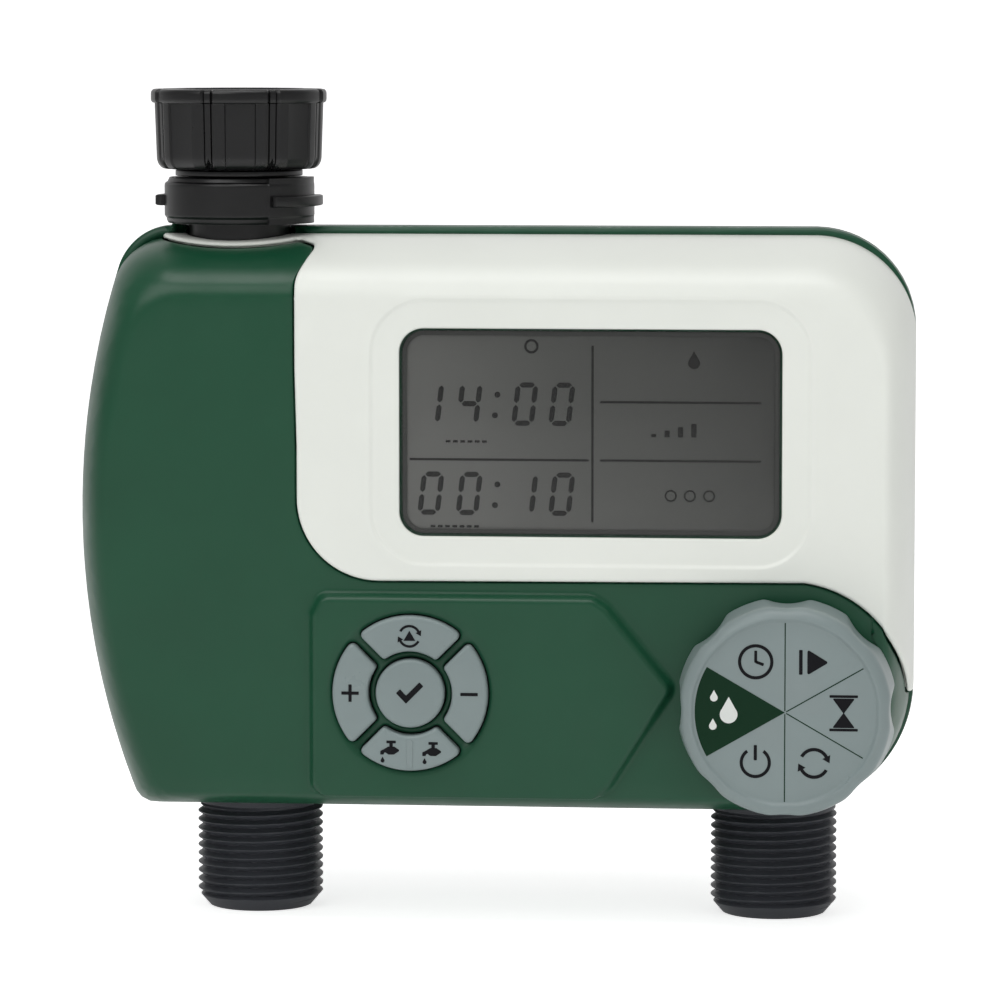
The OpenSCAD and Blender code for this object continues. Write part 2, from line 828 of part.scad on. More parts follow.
// A quarter of the key ring, centred on a direction, with its stem
module ring_key(direction) {
    reach = 30;
    start = key_slit / sqrt(2);
    intersection() {
        ring_y(keypad_x, keypad_z, key_inner_r, keypad_r - 0.05, key_top, key_back);
        translate([keypad_x, key_back, keypad_z])
            rotate([90, 0, 0])
                linear_extrude(key_back - key_top)
                    rotate(direction)
                        polygon([[start, 0], [start + reach, -reach], [start + reach, reach]]);
    }
}

module key_stem(i, r)
    bar_y(keypad_x + key_centres[i].x, keypad_z + key_centres[i].y, r, key_back - 1, stem_end);

module key_cycle()
    color(grey) union() {
        ring_key(90);
        key_stem(0, 2.2);
    }

module key_plus()
    color(grey) union() {
        ring_key(180);
        key_stem(1, 2.2);
    }

module key_minus()
    color(grey) union() {
        ring_key(0);
        key_stem(2, 2.2);
    }

module key_confirm()
    color(grey) union() {
        bar_y(keypad_x, keypad_z, confirm_r, key_top, key_back);
        key_stem(3, 2.2);
    }

module key_valves()
    color(grey) union() {
        ring_key(270);
        key_stem(4, 1.6);
        key_stem(5, 1.6);
        // Round pivot rib that the key rocks on
        bar_z(keypad_x, rocker_y, 0.8, rocker_z - 3.2, rocker_z + 3.2);
    }

// ---- Dial ----

module dial() {
    y_back = y_face - dial_gap_y;
    y_front = y_back - dial_h;
    scoop_r = 28;
    scoop_depth = 1;
    color(grey)
        difference() {
            union() {
                difference() {
                    translate([dial_x, y_back, dial_z])
                        rotate([90, 0, 0])
                            cylinder(r1 = dial_r, r2 = dial_r - 1.2, h = dial_h);
                    bar_y(dial_x, dial_z, dial_r - 3.2, y_front + 2.4, 0);
                }
                bar_y(dial_x, dial_z, 6, y_front + 2, y_back);
            }
            bar_y(dial_x, dial_z, spindle_r + 0.02, y_front + 2.6, 0);
            for (a = [0:45:315])
                bar_y(dial_x + (dial_r + scoop_r - scoop_depth) * cos(a),
                    dial_z + (dial_r + scoop_r - scoop_depth) * sin(a), scoop_r, y_front - 1, 0);
        }
}

module dial_spindle()
    color(steel)
        bar_y(dial_x, dial_z, spindle_r, y_face - dial_gap_y - dial_h + 2.8, y_board - 0.3);

module dial_seal()
    color(rubber) ring_y(dial_x, dial_z, spindle_r + running, 5, y_green + 0.05, y_green + 1.55);

// ---- Battery drawer ----

tray_low = [bay_low.x + 1, bay_low.y + 1];
tray_high = [bay_high.x - 1, bay_high.y - 1];
tray_front = 4.4;
tray_wall = 1.5;

module battery_door() {
    m = door_margin;
    y0 = bay_rear + 0.05;
    color(green)
        difference() {
            plate(y0 + door_t + 0.5, door_t + 0.5)
                polygon(rounded_box(bay_low.x - m, bay_low.y - m, bay_high.x + m, bay_high.y + m, 2));
            // Finger grip along the lower edge, as grooves
            for (i = [0:3])
                block([window_x - 12, y0 + door_t - 0.2, bay_low.y + 2 + i * 2.4],
                    [window_x + 12, y0 + door_t + 1, bay_low.y + 3.2 + i * 2.4]);
        }
}

module battery_tray()
    color(black)
        difference() {
            block([tray_low.x, tray_front, tray_low.y], [tray_high.x, bay_rear + 0.05, tray_high.y]);
            block([tray_low.x + tray_wall, tray_front + tray_wall, tray_low.y + tray_wall],
                [tray_high.x - tray_wall, bay_rear + 1, tray_high.y + 1]);
        }

module battery_cells()
    color([0.75, 0.55, 0.2])
        for (z = [tray_low.y + tray_wall + cell_r + 0.3, tray_low.y + tray_wall + 3 * cell_r + 0.9])
            translate([window_x - cell_len / 2, cell_y, z])
                rotate([0, 90, 0])
                    union() {
                        cylinder(r = cell_r, h = cell_len - 1);
                        translate([0, 0, cell_len - 1.5]) cylinder(r = 2.7, h = 1.5);
                    }

module battery_contacts()
    color(steel)
        for (z = [tray_low.y + tray_wall + cell_r + 0.3, tray_low.y + tray_wall + 3 * cell_r + 0.9]) {
            block([tray_low.x + tray_wall, cell_y - 5, z - 5],
                [tray_low.x + tray_wall + 0.5, cell_y + 5, z + 5]);
            translate([tray_low.x + tray_wall + 0.4, cell_y, z])
                rotate([0, 90, 0])
                    cylinder(r1 = 4, r2 = 2.6,
                        h = window_x - cell_len / 2 - tray_low.x - tray_wall - 0.45);
            block([window_x + cell_len / 2 + 0.05, cell_y - 4, z - 4],
                [tray_high.x - tray_wall, cell_y + 4, z + 4]);
        }

module door_gasket()
    color(rubber)
        difference() {
            block([bay_low.x - 1.5, bay_rear - 0.55, bay_low.y - 1.5],
                [bay_high.x + 1.5, bay_rear, bay_high.y + 1.5]);
            block([bay_low.x + 0.1, bay_rear - 2, bay_low.y + 0.1],
                [bay_high.x - 0.1, bay_rear + 1, bay_high.y - 0.1]);
        }

module bay_terminals()
    color(brass)
        for (x = [60, 92])
            union() {
                block([x - 3, bay_front, -58], [x + 3, bay_front + 0.4, -46]);
                block([x - 2, bay_front + 0.3, -54], [x + 2, bay_front + 1.9, -51]);
            }

inlet_nut();
inlet_washer();
inlet_filter();
inlet_tailpiece();
union_collar();
tailpiece_seal();
manifold();
manifold_seals();
valve_body_left();
valve_body_right();
outlet_left();
outlet_right();
outlet_seals();
diaphragm_left();
diaphragm_right();
bonnet_left();
bonnet_right();
bonnet_screws();
coil_left();
coil_right();
plunger_left();
plunger_right();
plunger_spring_left();
plunger_spring_right();
coil_leads();
front_housing();
front_fascia();
rear_housing();
case_seal();
case_screws();
display_lens();
display_frame();
display_glass();
circuit_board();
board_screws();
tact_switches();
lead_connectors();
rotary_switch();
keypad_mat();
key_cycle();
key_plus();
key_minus();
key_confirm();
key_valves();
dial();
dial_spindle();
dial_seal();
battery_door();
battery_tray();
battery_cells();
battery_contacts();
door_gasket();
bay_terminals();
battery_lead();
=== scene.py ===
"""Looks of the two-outlet irrigation controller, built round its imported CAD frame.

Lengths are in millimetres inside the builders and turned to metres when a mesh is made.
"""

import math

import bmesh
import bpy
import numpy as np
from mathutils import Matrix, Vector
from mathutils.geometry import delaunay_2d_cdt


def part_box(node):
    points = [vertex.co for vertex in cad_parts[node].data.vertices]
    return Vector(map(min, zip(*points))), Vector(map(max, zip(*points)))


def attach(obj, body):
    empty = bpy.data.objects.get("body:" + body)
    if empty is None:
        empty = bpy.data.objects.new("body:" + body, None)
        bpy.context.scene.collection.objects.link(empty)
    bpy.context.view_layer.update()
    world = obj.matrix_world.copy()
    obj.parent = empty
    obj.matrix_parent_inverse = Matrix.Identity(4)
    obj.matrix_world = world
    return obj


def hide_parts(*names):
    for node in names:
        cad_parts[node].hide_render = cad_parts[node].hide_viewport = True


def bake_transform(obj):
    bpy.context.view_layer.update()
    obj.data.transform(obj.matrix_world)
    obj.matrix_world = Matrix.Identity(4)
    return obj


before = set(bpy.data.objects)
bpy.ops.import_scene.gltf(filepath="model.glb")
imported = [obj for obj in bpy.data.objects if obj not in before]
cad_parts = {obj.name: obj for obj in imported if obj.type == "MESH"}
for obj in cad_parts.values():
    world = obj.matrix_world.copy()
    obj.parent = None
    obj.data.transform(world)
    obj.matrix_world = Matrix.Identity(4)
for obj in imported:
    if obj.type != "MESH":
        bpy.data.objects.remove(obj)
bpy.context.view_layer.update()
MM = 0.001
TAU = 2 * math.pi


# ---- Sizes, read from the frame ----

def box_mm(node):
    """Lowest and highest corner of a CAD node in millimetres."""
    low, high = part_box(node)
    return np.array(low) / MM, np.array(high) / MM


def middle(node):
    """Centre of a CAD node's box in millimetres."""
    low, high = box_mm(node)
    return (low + high) / 2


REAR_LOW, REAR_HIGH = box_mm("rear_housing")
FASCIA_LOW, FASCIA_HIGH = box_mm("front_fascia")
LENS_LOW, LENS_HIGH = box_mm("display_lens")
DISPLAY_LOW, DISPLAY_HIGH = box_mm("display_glass")
DIAL_LOW, DIAL_HIGH = box_mm("dial")
DOOR_LOW, DOOR_HIGH = box_mm("battery_door")
KEY_LOW, KEY_HIGH = box_mm("key_confirm")
X_LEFT, X_RIGHT = REAR_LOW[0], REAR_HIGH[0]
Z_TOP, Z_BOTTOM = REAR_HIGH[2], REAR_LOW[2]
Z_FRONT_TOP = FASCIA_HIGH[2]
SLAB = 0.02  # the CAD shells end this far beyond the form's depth
FRONT_DEPTH, REAR_DEPTH = -FASCIA_LOW[1] - SLAB, REAR_HIGH[1] - SLAB
OUTLET_X = [middle("outlet_left")[0], middle("outlet_right")[0]]
DIAL_X, DIAL_Z = middle("dial_spindle")[0], middle("dial_spindle")[2]
KEY_X, KEY_Z = middle("key_confirm")[0], middle("key_confirm")[2]
WINDOW_X, WINDOW_Z = middle("display_lens")[0], middle("display_lens")[2]
LENS_SLACK = 0.2
WINDOW_W = LENS_HIGH[0] - LENS_LOW[0] + 2 * LENS_SLACK
WINDOW_H = LENS_HIGH[2] - LENS_LOW[2] + 2 * LENS_SLACK
WINDOW_R = 5.0
NECK_R = 10.55
THREAD_MAJOR, THREAD_MINOR, THREAD_PITCH = 13.22, 12.06, 1.814

# How the case is shaped, as in the CAD
LEFT_ARC_R = 168.0
ARC_MID_DROP = 58.8
CORNERS = {"top_left": 12.5, "top_right": 21.0, "bottom_left": 5.5, "bottom_right": 27.0}
FRONT_DRAW = np.array([9.0, 6.0, 12.0, 6.0])
REAR_DRAW = np.array([9.0, 9.0, 9.0, 9.0])
GREEN_DROP = 0.8
RECESS_DROP = 1.9
FASCIA_GAP = 0.3
FASCIA_RISE = 0.35
PLATEAU_RISE = 2.0
KEY_DISH_R, KEY_DISH_DROP = 17.5, 0.85
WALL = 2.4

# Small edges of the case skins: how far they fall, over what width
RIM_BREAK, RIM_BREAK_W = 0.17, 0.45
KEY_EDGE, KEY_EDGE_W = 0.12, 0.35

# Flat pieces
PRINT_T = 0.2
NO_GRID = 1e6  # wider than any piece, so that no inner points are added
SAME_POINT = 1e-7


# ---- Flat outlines ----

def arc(cx, cz, r, a0, a1, n):
    """Points on an arc, both ends included, angles in degrees."""
    a = np.radians(np.linspace(a0, a1, n + 1))
    return np.stack([cx + r * np.cos(a), cz + r * np.sin(a)], axis=1)


def circle(cx, cz, r, n):
    """A closed circle of n points."""
    return arc(cx, cz, r, 0, 360, n)[:-1]


def rounded(points, radii, step=0.5):
    """A closed outline with each corner replaced by an arc of its radius."""
    pts = np.asarray(points, float)
    n = len(pts)
    radii = np.broadcast_to(np.asarray(radii, float), (n,))
    out = []
    for i in range(n):
        p, a, b = pts[i], pts[i - 1] - pts[i], pts[(i + 1) % n] - pts[i]
        la, lb = np.linalg.norm(a), np.linalg.norm(b)
        a, b = a / la, b / lb
        half = math.acos(np.clip(a @ b, -1, 1)) / 2
        cut = min(radii[i] / math.tan(half), 0.48 * la, 0.48 * lb) if half < 1.56 else 0
        if radii[i] <= 0 or cut < 1e-3:
            out.append(p[None])
            continue
        r = cut * math.tan(half)
        c = p + (a + b) / np.linalg.norm(a + b) * (r / math.sin(half))
        s, e = p + a * cut - c, p + b * cut - c
        t0, t1 = math.atan2(s[1], s[0]), math.atan2(e[1], e[0])
        turn = (t1 - t0 + math.pi) % TAU - math.pi
        k = max(3, int(abs(turn) * r / step) + 1)
        t = t0 + turn * np.linspace(0, 1, k + 1)
        out.append(np.stack([c[0] + r * np.cos(t), c[1] + r * np.sin(t)], axis=1))
    return np.concatenate(out)


def spaced(loop, step):
    """The same closed outline with points added so that none lie further apart than step."""
    pts = np.asarray(loop, float)
    out = []
    for p, q in zip(pts, np.roll(pts, -1, axis=0)):
        k = max(1, int(math.ceil(np.linalg.norm(q - p) / step)))
        out.append(p + (q - p) * (np.arange(k) / k)[:, None])
    return np.concatenate(out)


def rounded_box(x0, z0, x1, z1, r):
    """A rectangle with corners of radius r."""
    return rounded([[x0, z0], [x1, z0], [x1, z1], [x0, z1]], r)


def box_outline(low, high, grow, r):
    """A box seen from the front, grown on all sides, with corners of radius r."""
    return rounded_box(low[0] - grow, low[2] - grow, high[0] + grow, high[2] + grow, r)


def signed_area(loop):
    """Area of a closed loop, positive when it runs anticlockwise."""
    x, z = loop[:, 0], loop[:, 1]
    return 0.5 * np.sum(x * np.roll(z, -1) - np.roll(x, -1) * z)


def inward(loop, d):
    """The loop moved by d towards its inside."""
    pts = np.asarray(loop, float)
    nxt, prv = np.roll(pts, -1, axis=0) - pts, pts - np.roll(pts, 1, axis=0)
    t = nxt / np.linalg.norm(nxt, axis=1)[:, None] + prv / np.linalg.norm(prv, axis=1)[:, None]
    t /= np.linalg.norm(t, axis=1)[:, None]
    normal = np.stack([-t[:, 1], t[:, 0]], axis=1) * np.sign(signed_area(pts))
    return pts + normal * d


def offsets(loop, distances):
    """Copies of the loop, each moved towards its inside by one of the distances."""
    return [inward(loop, d) for d in distances]


def inside(points, loop):
    """Which points lie inside the closed loop."""
    x, z = points[:, 0], points[:, 1]
    result = np.zeros(len(points), bool)
    nxt = np.roll(loop, -1, axis=0)
    for (x0, z0), (x1, z1) in zip(loop, nxt):
        if z0 == z1:
            continue
        crosses = ((z0 > z) != (z1 > z)) & (x < (x1 - x0) * (z - z0) / (z1 - z0) + x0)
        result ^= crosses
    return result


def depth_in(points, loop):
    """Signed distance to the loop, positive inside it."""
    best = np.full(len(points), 1e9)
    nxt = np.roll(loop, -1, axis=0)
    for p, q in zip(loop, nxt):
        e = q - p
        t = np.clip(((points - p) @ e) / max(e @ e, 1e-12), 0, 1)
        best = np.minimum(best, np.sum((points - p - t[:, None] * e) ** 2, axis=1))
    return np.sqrt(best) * np.where(inside(points, loop), 1, -1)


def ease(t):
    """A smooth step from 0 to 1."""
    t = np.clip(t, 0, 1)
    return t * t * (3 - 2 * t)


def quarter(t):
    """A quarter circle of radius 1: 0 at t = 0, where it starts level, and 1 at t = 1."""
    return 1 - np.sqrt(np.clip(1 - t ** 2, 0, 1))


def roll_off(d, r):
    """How far a rounded edge of radius r falls at distance d from it."""
    return r * quarter(np.clip(1 - d / r, 0, 1))


# ---- Case form ----

def case_outline(top):
    """The case from the front: bowed left side, other sides straight, round corners."""
    bow_x, bow_z = X_LEFT + LEFT_ARC_R, Z_TOP - ARC_MID_DROP
    tl, bl = CORNERS["top_left"], CORNERS["bottom_left"]
    tr, br = CORNERS["top_right"], CORNERS["bottom_right"]

    def on_bow(z, r):
        return bow_x - math.sqrt((LEFT_ARC_R - r) ** 2 - (bow_z - z) ** 2)

    tz, bz = top - tl, Z_BOTTOM + bl
    a_tl = 180 - math.degrees(math.asin((tz - bow_z) / (LEFT_ARC_R - tl)))
    a_bl = 180 + math.degrees(math.asin((bow_z - bz) / (LEFT_ARC_R - bl)))
    return np.concatenate([
        arc(X_RIGHT - tr, top - tr, tr, 0, 90, 40),
        arc(on_bow(tz, tl), tz, tl, 90, a_tl, 24)[1:],
        arc(bow_x, bow_z, LEFT_ARC_R, a_tl, a_bl, 160)[1:-1],
        arc(on_bow(bz, bl), bz, bl, a_bl, 270, 24),
        arc(X_RIGHT - br, Z_BOTTOM + br, br, 270, 360, 44)[1:],
    ])


class Form:
    """One half of the case. Its surface is unrolled to a flat chart, in which meshes are cut."""

    reach = 21.0  # how far the unrolled shoulder runs past the outline

    def __init__(self, top, draw, depth, side, power):
        self.top, self.draw, self.depth, self.side, self.power = top, draw, depth, side, power
        self.base = case_outline(top)
        self.mid = np.array([(X_LEFT + X_RIGHT) / 2, (top + Z_BOTTOM) / 2])
        fine = spaced(self.base, 0.5) - self.mid
        a = np.arctan2(fine[:, 1], fine[:, 0])
        order = np.argsort(a)
        a, r = a[order], np.linalg.norm(fine, axis=1)[order]
        self.angles = np.concatenate([a[-1:] - TAU, a, a[:1] + TAU])
        self.radii = np.concatenate([r[-1:], r, r[:1]])

    def fall(self, u):
        """Share of the draw-in at shoulder parameter u, 0 at the parting plane and 1 on the face."""
        return 1 - np.cos(u * math.pi / 2) ** self.power

    def rise(self, u):
        """Distance of the shoulder from the parting plane."""
        return self.depth * np.sin(u * math.pi / 2) ** self.power

    def chart_inset(self, u):
        """Draw-in of the four sides (left, right, top, bottom) in the flat chart."""
        return self.draw * u[:, None] - self.reach * (1 - u[:, None])

    def true_inset(self, u):
        """Draw-in of the four sides on the real surface."""
        return self.draw * self.fall(u)[:, None]

    def shrink(self, inset):
        """The factors by which an inset makes the outline narrower and lower."""
        w, h = X_RIGHT - X_LEFT, self.top - Z_BOTTOM
        return (w - inset[:, 0] - inset[:, 1]) / w, (h - inset[:, 2] - inset[:, 3]) / h

    def move(self, b, inset):
        """Points of the base outline, drawn in."""
        kx, kz = self.shrink(inset)
        return np.stack([X_LEFT + inset[:, 0] + (b[:, 0] - X_LEFT) * kx,
                         Z_BOTTOM + inset[:, 3] + (b[:, 1] - Z_BOTTOM) * kz], axis=1)

    def unmove(self, p, inset):
        """The inverse of move."""
        kx, kz = self.shrink(inset)
        return np.stack([X_LEFT + (p[:, 0] - X_LEFT - inset[:, 0]) / kx,
                         Z_BOTTOM + (p[:, 1] - Z_BOTTOM - inset[:, 3]) / kz], axis=1)

    def beyond(self, b):
        """How far points lie outside the base outline."""
        d = b - self.mid
        return np.linalg.norm(d, axis=1) - np.interp(np.arctan2(d[:, 1], d[:, 0]),
                                                     self.angles, self.radii)

    def solve(self, p, inset_of):
        """The shoulder parameter at which the drawn-in outline passes through each point."""
        low, high = np.zeros(len(p)), np.ones(len(p))
        for _ in range(34):
            u = (low + high) / 2
            out = self.beyond(self.unmove(p, inset_of(u))) > 0
            high, low = np.where(out, u, high), np.where(out, low, u)
        return (low + high) / 2

    def on_surface(self, c):
        """Points of the case surface for chart points."""
        u = self.solve(c, self.chart_inset)
        p = self.move(self.unmove(c, self.chart_inset(u)), self.true_inset(u))
        p = np.where((u > 1 - 1e-6)[:, None], c, p)
        return np.stack([p[:, 0], self.side * self.rise(u), p[:, 1]], axis=1)

    def normals(self, c):
        """Outward normals of the case surface, taken just inside each chart point."""
        e = 0.02
        inner = self.mid + (c - self.mid) * (1 - 8e-4)
        p = self.on_surface(inner)
        dx = self.on_surface(inner + [e, 0]) - self.on_surface(inner - [e, 0])
        dz = self.on_surface(inner + [0, e]) - self.on_surface(inner - [0, e])
        n = np.cross(dx, dz) * -self.side
        n *= np.where(np.sum(n * (p - [self.mid[0], 0, self.mid[1]]), axis=1) < 0, -1, 1)[:, None]
        return n / np.linalg.norm(n, axis=1)[:, None]

    def from_front(self, p):
        """Chart points of points given as seen from the front."""
        u = self.solve(p, self.true_inset)
        c = self.move(self.unmove(p, self.true_inset(u)), self.chart_inset(u))
        return np.where((u > 1 - 1e-6)[:, None], p, c)

    def from_edge(self, x, y, above):
        """Chart points of points on the top (above) or bottom shoulder, given by x and y."""
        u = np.arcsin(np.clip(np.abs(y) / self.depth, 0, 1) ** (1 / self.power)) * 2 / math.pi
        b = self.unmove(np.stack([x, np.zeros_like(x)], axis=1), self.true_inset(u))
        half = self.base[(self.base[:, 1] > self.mid[1]) == above]
        half = half[np.argsort(half[:, 0])]
        b[:, 1] = np.interp(b[:, 0], half[:, 0], half[:, 1])
        return self.move(b, self.chart_inset(u))

    def rim(self):
        """The parting line in the chart, with half-round notches for the neck and the outlets."""
        base = spaced(self.base, 1.0)
        loop = self.move(base, self.chart_inset(np.zeros(len(base))))
        cuts = [(0.0, NECK_R + 0.3, True)] + [(x, THREAD_MAJOR + 0.3, False) for x in OUTLET_X]
        gone = [(np.abs(base[:, 0] - x) < r) & ((base[:, 1] > self.mid[1]) == above)
                for x, r, above in cuts]
        result = []
        for i in range(len(loop)):
            hit = [k for k in range(len(cuts)) if gone[k][i]]
            if not hit:
                result.append(loop[i])
            elif not gone[hit[0]][i - 1]:
                x, r, above = cuts[hit[0]]
                a = np.radians(np.linspace(0, 180, 49))
                c = self.from_edge(x + r * np.cos(a), r * np.sin(a), above)
                result.extend(c if above else c[::-1])
        return np.array(result)


FRONT = Form(Z_FRONT_TOP, FRONT_DRAW, FRONT_DEPTH, -1, 1.0)
REAR = Form(Z_TOP, REAR_DRAW, REAR_DEPTH, 1, 0.7)


# ---- Mesh making ----

def new_object(name, verts_mm, faces, material, angle=40):
    """A smooth-shaded object from millimetres, with edges sharper than angle kept sharp."""
    mesh = bpy.data.meshes.new(name)
    mesh.from_pydata([tuple(v) for v in np.asarray(verts_mm, float) * MM], [], faces)
    mesh.validate()
    mesh.polygons.foreach_set("use_smooth", [True] * len(mesh.polygons))
    mesh.set_sharp_from_angle(angle=math.radians(angle))
    mesh.materials.append(material)
    obj = bpy.data.objects.new(name, mesh)
    bpy.context.scene.collection.objects.link(obj)
    return obj


def outward(obj, merge=None):
    """Makes a closed mesh's faces point outwards, once points closer than merge are made one."""
    bm = bmesh.new()
    bm.from_mesh(obj.data)
    if merge:
        bmesh.ops.remove_doubles(bm, verts=bm.verts, dist=merge)
    bmesh.ops.recalc_face_normals(bm, faces=bm.faces)
    bm.to_mesh(obj.data)
    bm.free()


def thicken(obj, wall, quality_normals):
    """Gives a sheet a wall on the side away from its normals."""
    solid = obj.modifiers.new("wall", "SOLIDIFY")
    solid.thickness = wall * MM
    solid.offset = -1
    solid.use_quality_normals = quality_normals


def finish_piece(obj, body, slot, *nodes):
    """Rides a piece on its body and hides the CAD nodes that it stands for; slot is not used."""
    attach(obj, body)
    if nodes:
        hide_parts(*nodes)


def even(n):
    """n angles spread evenly round a turn."""
    return np.arange(n) * TAU / n


def quads(rings, n, closed=False):
    """Faces between rings of n points each; closed joins the last ring to the first."""
    faces = []
    for i in range(rings if closed else rings - 1):
        a, b = i * n, (i + 1) % rings * n
        faces += [(a + k, a + (k + 1) % n, b + (k + 1) % n, b + k) for k in range(n)]
    return faces


def capped(name, verts, n, material, angle):
    """A closed bar from rings of n points, listed one after another."""
    faces = quads(len(verts) // n, n)
    faces += [tuple(range(n))[::-1], tuple(range(len(verts) - n, len(verts)))]
    obj = new_object(name, verts, faces, material, angle)
    outward(obj)
    return obj


def triangulate(outer, holes=(), lines=(), grid=3.0, keep=None):
    """Points and triangles of a flat region, following its outline, holes and extra closed lines."""
    loops = [np.asarray(loop, float) for loop in [outer, *holes, *lines]]
    pts = np.concatenate(loops)
    edges, start = [], 0
    for loop in loops:
        n = len(loop)
        edges += [(start + i, start + (i + 1) % n) for i in range(n)]
        start += n
    low, high = outer.min(axis=0), outer.max(axis=0)
    xs = np.arange(low[0] + grid / 2, high[0], grid)
    zs = np.arange(low[1] + grid / 2, high[1], grid * 0.87)
    gx, gz = np.meshgrid(xs, zs)
    gx = gx + (np.arange(len(zs)) % 2)[:, None] * grid / 2
    g = np.stack([gx.ravel(), gz.ravel()], axis=1)
    g = g[inside(g, outer)]
    if len(g):
        near = np.full(len(g), 1e9)
        for chunk in np.array_split(pts, max(1, len(pts) // 200)):
            d = np.linalg.norm(g[:, None, :] - chunk[None], axis=2).min(axis=1)
            near = np.minimum(near, d)
        g = g[near > grid * 0.45]
    points = [Vector(p) for p in np.concatenate([pts, g])]
    verts, _, faces, *_ = delaunay_2d_cdt(points, edges, [], 0, 1e-5)
    verts = np.array([tuple(v) for v in verts])
    tris = np.array([f for f in faces if len(f) == 3])
    mid = verts[tris].mean(axis=1)
    good = inside(mid, outer)
    for hole in holes:
        good &= ~inside(mid, hole)
    if keep is not None:
        good &= keep(mid)
    tris = tris[good]
    used = np.unique(tris)
    renumber = np.full(len(verts), -1)
    renumber[used] = np.arange(len(used))
    return verts[used], renumber[tris]


def skin(name, form, outer, holes, lines, height, material, wall, keep=None):
    """A moulded skin cut from a case form: height gives its level above the form's surface."""
    c, tris = triangulate(outer, holes, lines, keep=keep)
    p = form.on_surface(c) + form.normals(c) * height(c)[:, None]
    p[:, 0] = np.minimum(p[:, 0], X_RIGHT)
    a = c[tris]
    e, f = a[:, 1] - a[:, 0], a[:, 2] - a[:, 0]
    flip = (e[:, 0] * f[:, 1] - e[:, 1] * f[:, 0]) * form.side > 0
    tris = np.where(flip[:, None], tris[:, ::-1], tris)
    obj = new_object(name, p, tris.tolist(), material, 50)
    thicken(obj, wall, True)
    return obj


def lathe(name, rows, n, material, warp=None, axis="Z", centre=(0, 0, 0), angle=35):
    """A turned piece with n points round. rows are (radius, height) round a closed profile.

    warp, if given, changes the radii and heights of all points from those and their angles.
    """
    rows, th = np.asarray(rows, float), even(n)
    r, z = (np.repeat(rows[:, k:k + 1], n, axis=1) for k in (0, 1))
    if warp is not None:
        r, z = warp(r, z, th[None, :])
    x, y = r * np.cos(th), r * np.sin(th)
    v = np.stack([x, y, z] if axis == "Z" else [x, -z, y], axis=2)
    v = v.reshape(-1, 3) + np.asarray(centre)
    obj = new_object(name, v, quads(len(rows), n, closed=True), material, angle)
    outward(obj)
    return obj


def fill(name, loops, y, t, material, edge=0.0):
    """A flat piece from outlines in X and Z (later ones are holes), front face at y, t thick.

    edge is the radius of the rounding round the front face.
    """
    around = np.radians([0, 22, 45, 68, 90]) if edge else [math.pi / 2]
    steps = [edge * (1 - math.cos(a)) for a in around]
    drops = [edge * (1 - math.sin(a)) for a in around]
    rings = [offsets(loop, [d if loop is loops[0] else -d for d in steps]) for loop in loops]
    verts, faces = [], []

    def add(points, depth):
        start = len(verts)
        verts.extend([(p[0], depth, p[1]) for p in points])
        return start

    for level, depth, turn in ((-1, y, 1), (0, y + t, -1)):
        points, tris = triangulate(rings[0][level], [r[level] for r in rings[1:]], (), NO_GRID)
        start = add(points, depth)
        faces += [tuple(start + i for i in tri[::turn]) for tri in tris]
    for ring in rings:
        starts = [add(ring[0], y + t)] + [add(p, y + d) for p, d in zip(ring, drops)]
        n = len(ring[0])
        for a, b in zip(starts, starts[1:]):
            faces += [(a + i, a + (i + 1) % n, b + (i + 1) % n, b + i) for i in range(n)]
    obj = new_object(name, verts, faces, material)
    outward(obj, SAME_POINT)
    obj.data.set_sharp_from_angle(angle=math.radians(40))
    return obj


def joined(name, parts):
    """Several new objects as one."""
    bpy.ops.object.select_all(action="DESELECT")
    for p in parts:
        p.select_set(True)
    bpy.context.view_layer.objects.active = parts[0]
    if len(parts) > 1:
        bpy.ops.object.join()
    parts[0].name = name
    parts[0].data.name = name
    return parts[0]


# ---- Materials ----

def linear(rgb):
    """sRGB numbers from 0 to 255 as a linear colour."""
    c = np.array(rgb, float) / 255
    c = np.where(c <= 0.04045, c / 12.92, ((c + 0.055) / 1.055) ** 2.4)
    return (*c, 1.0)


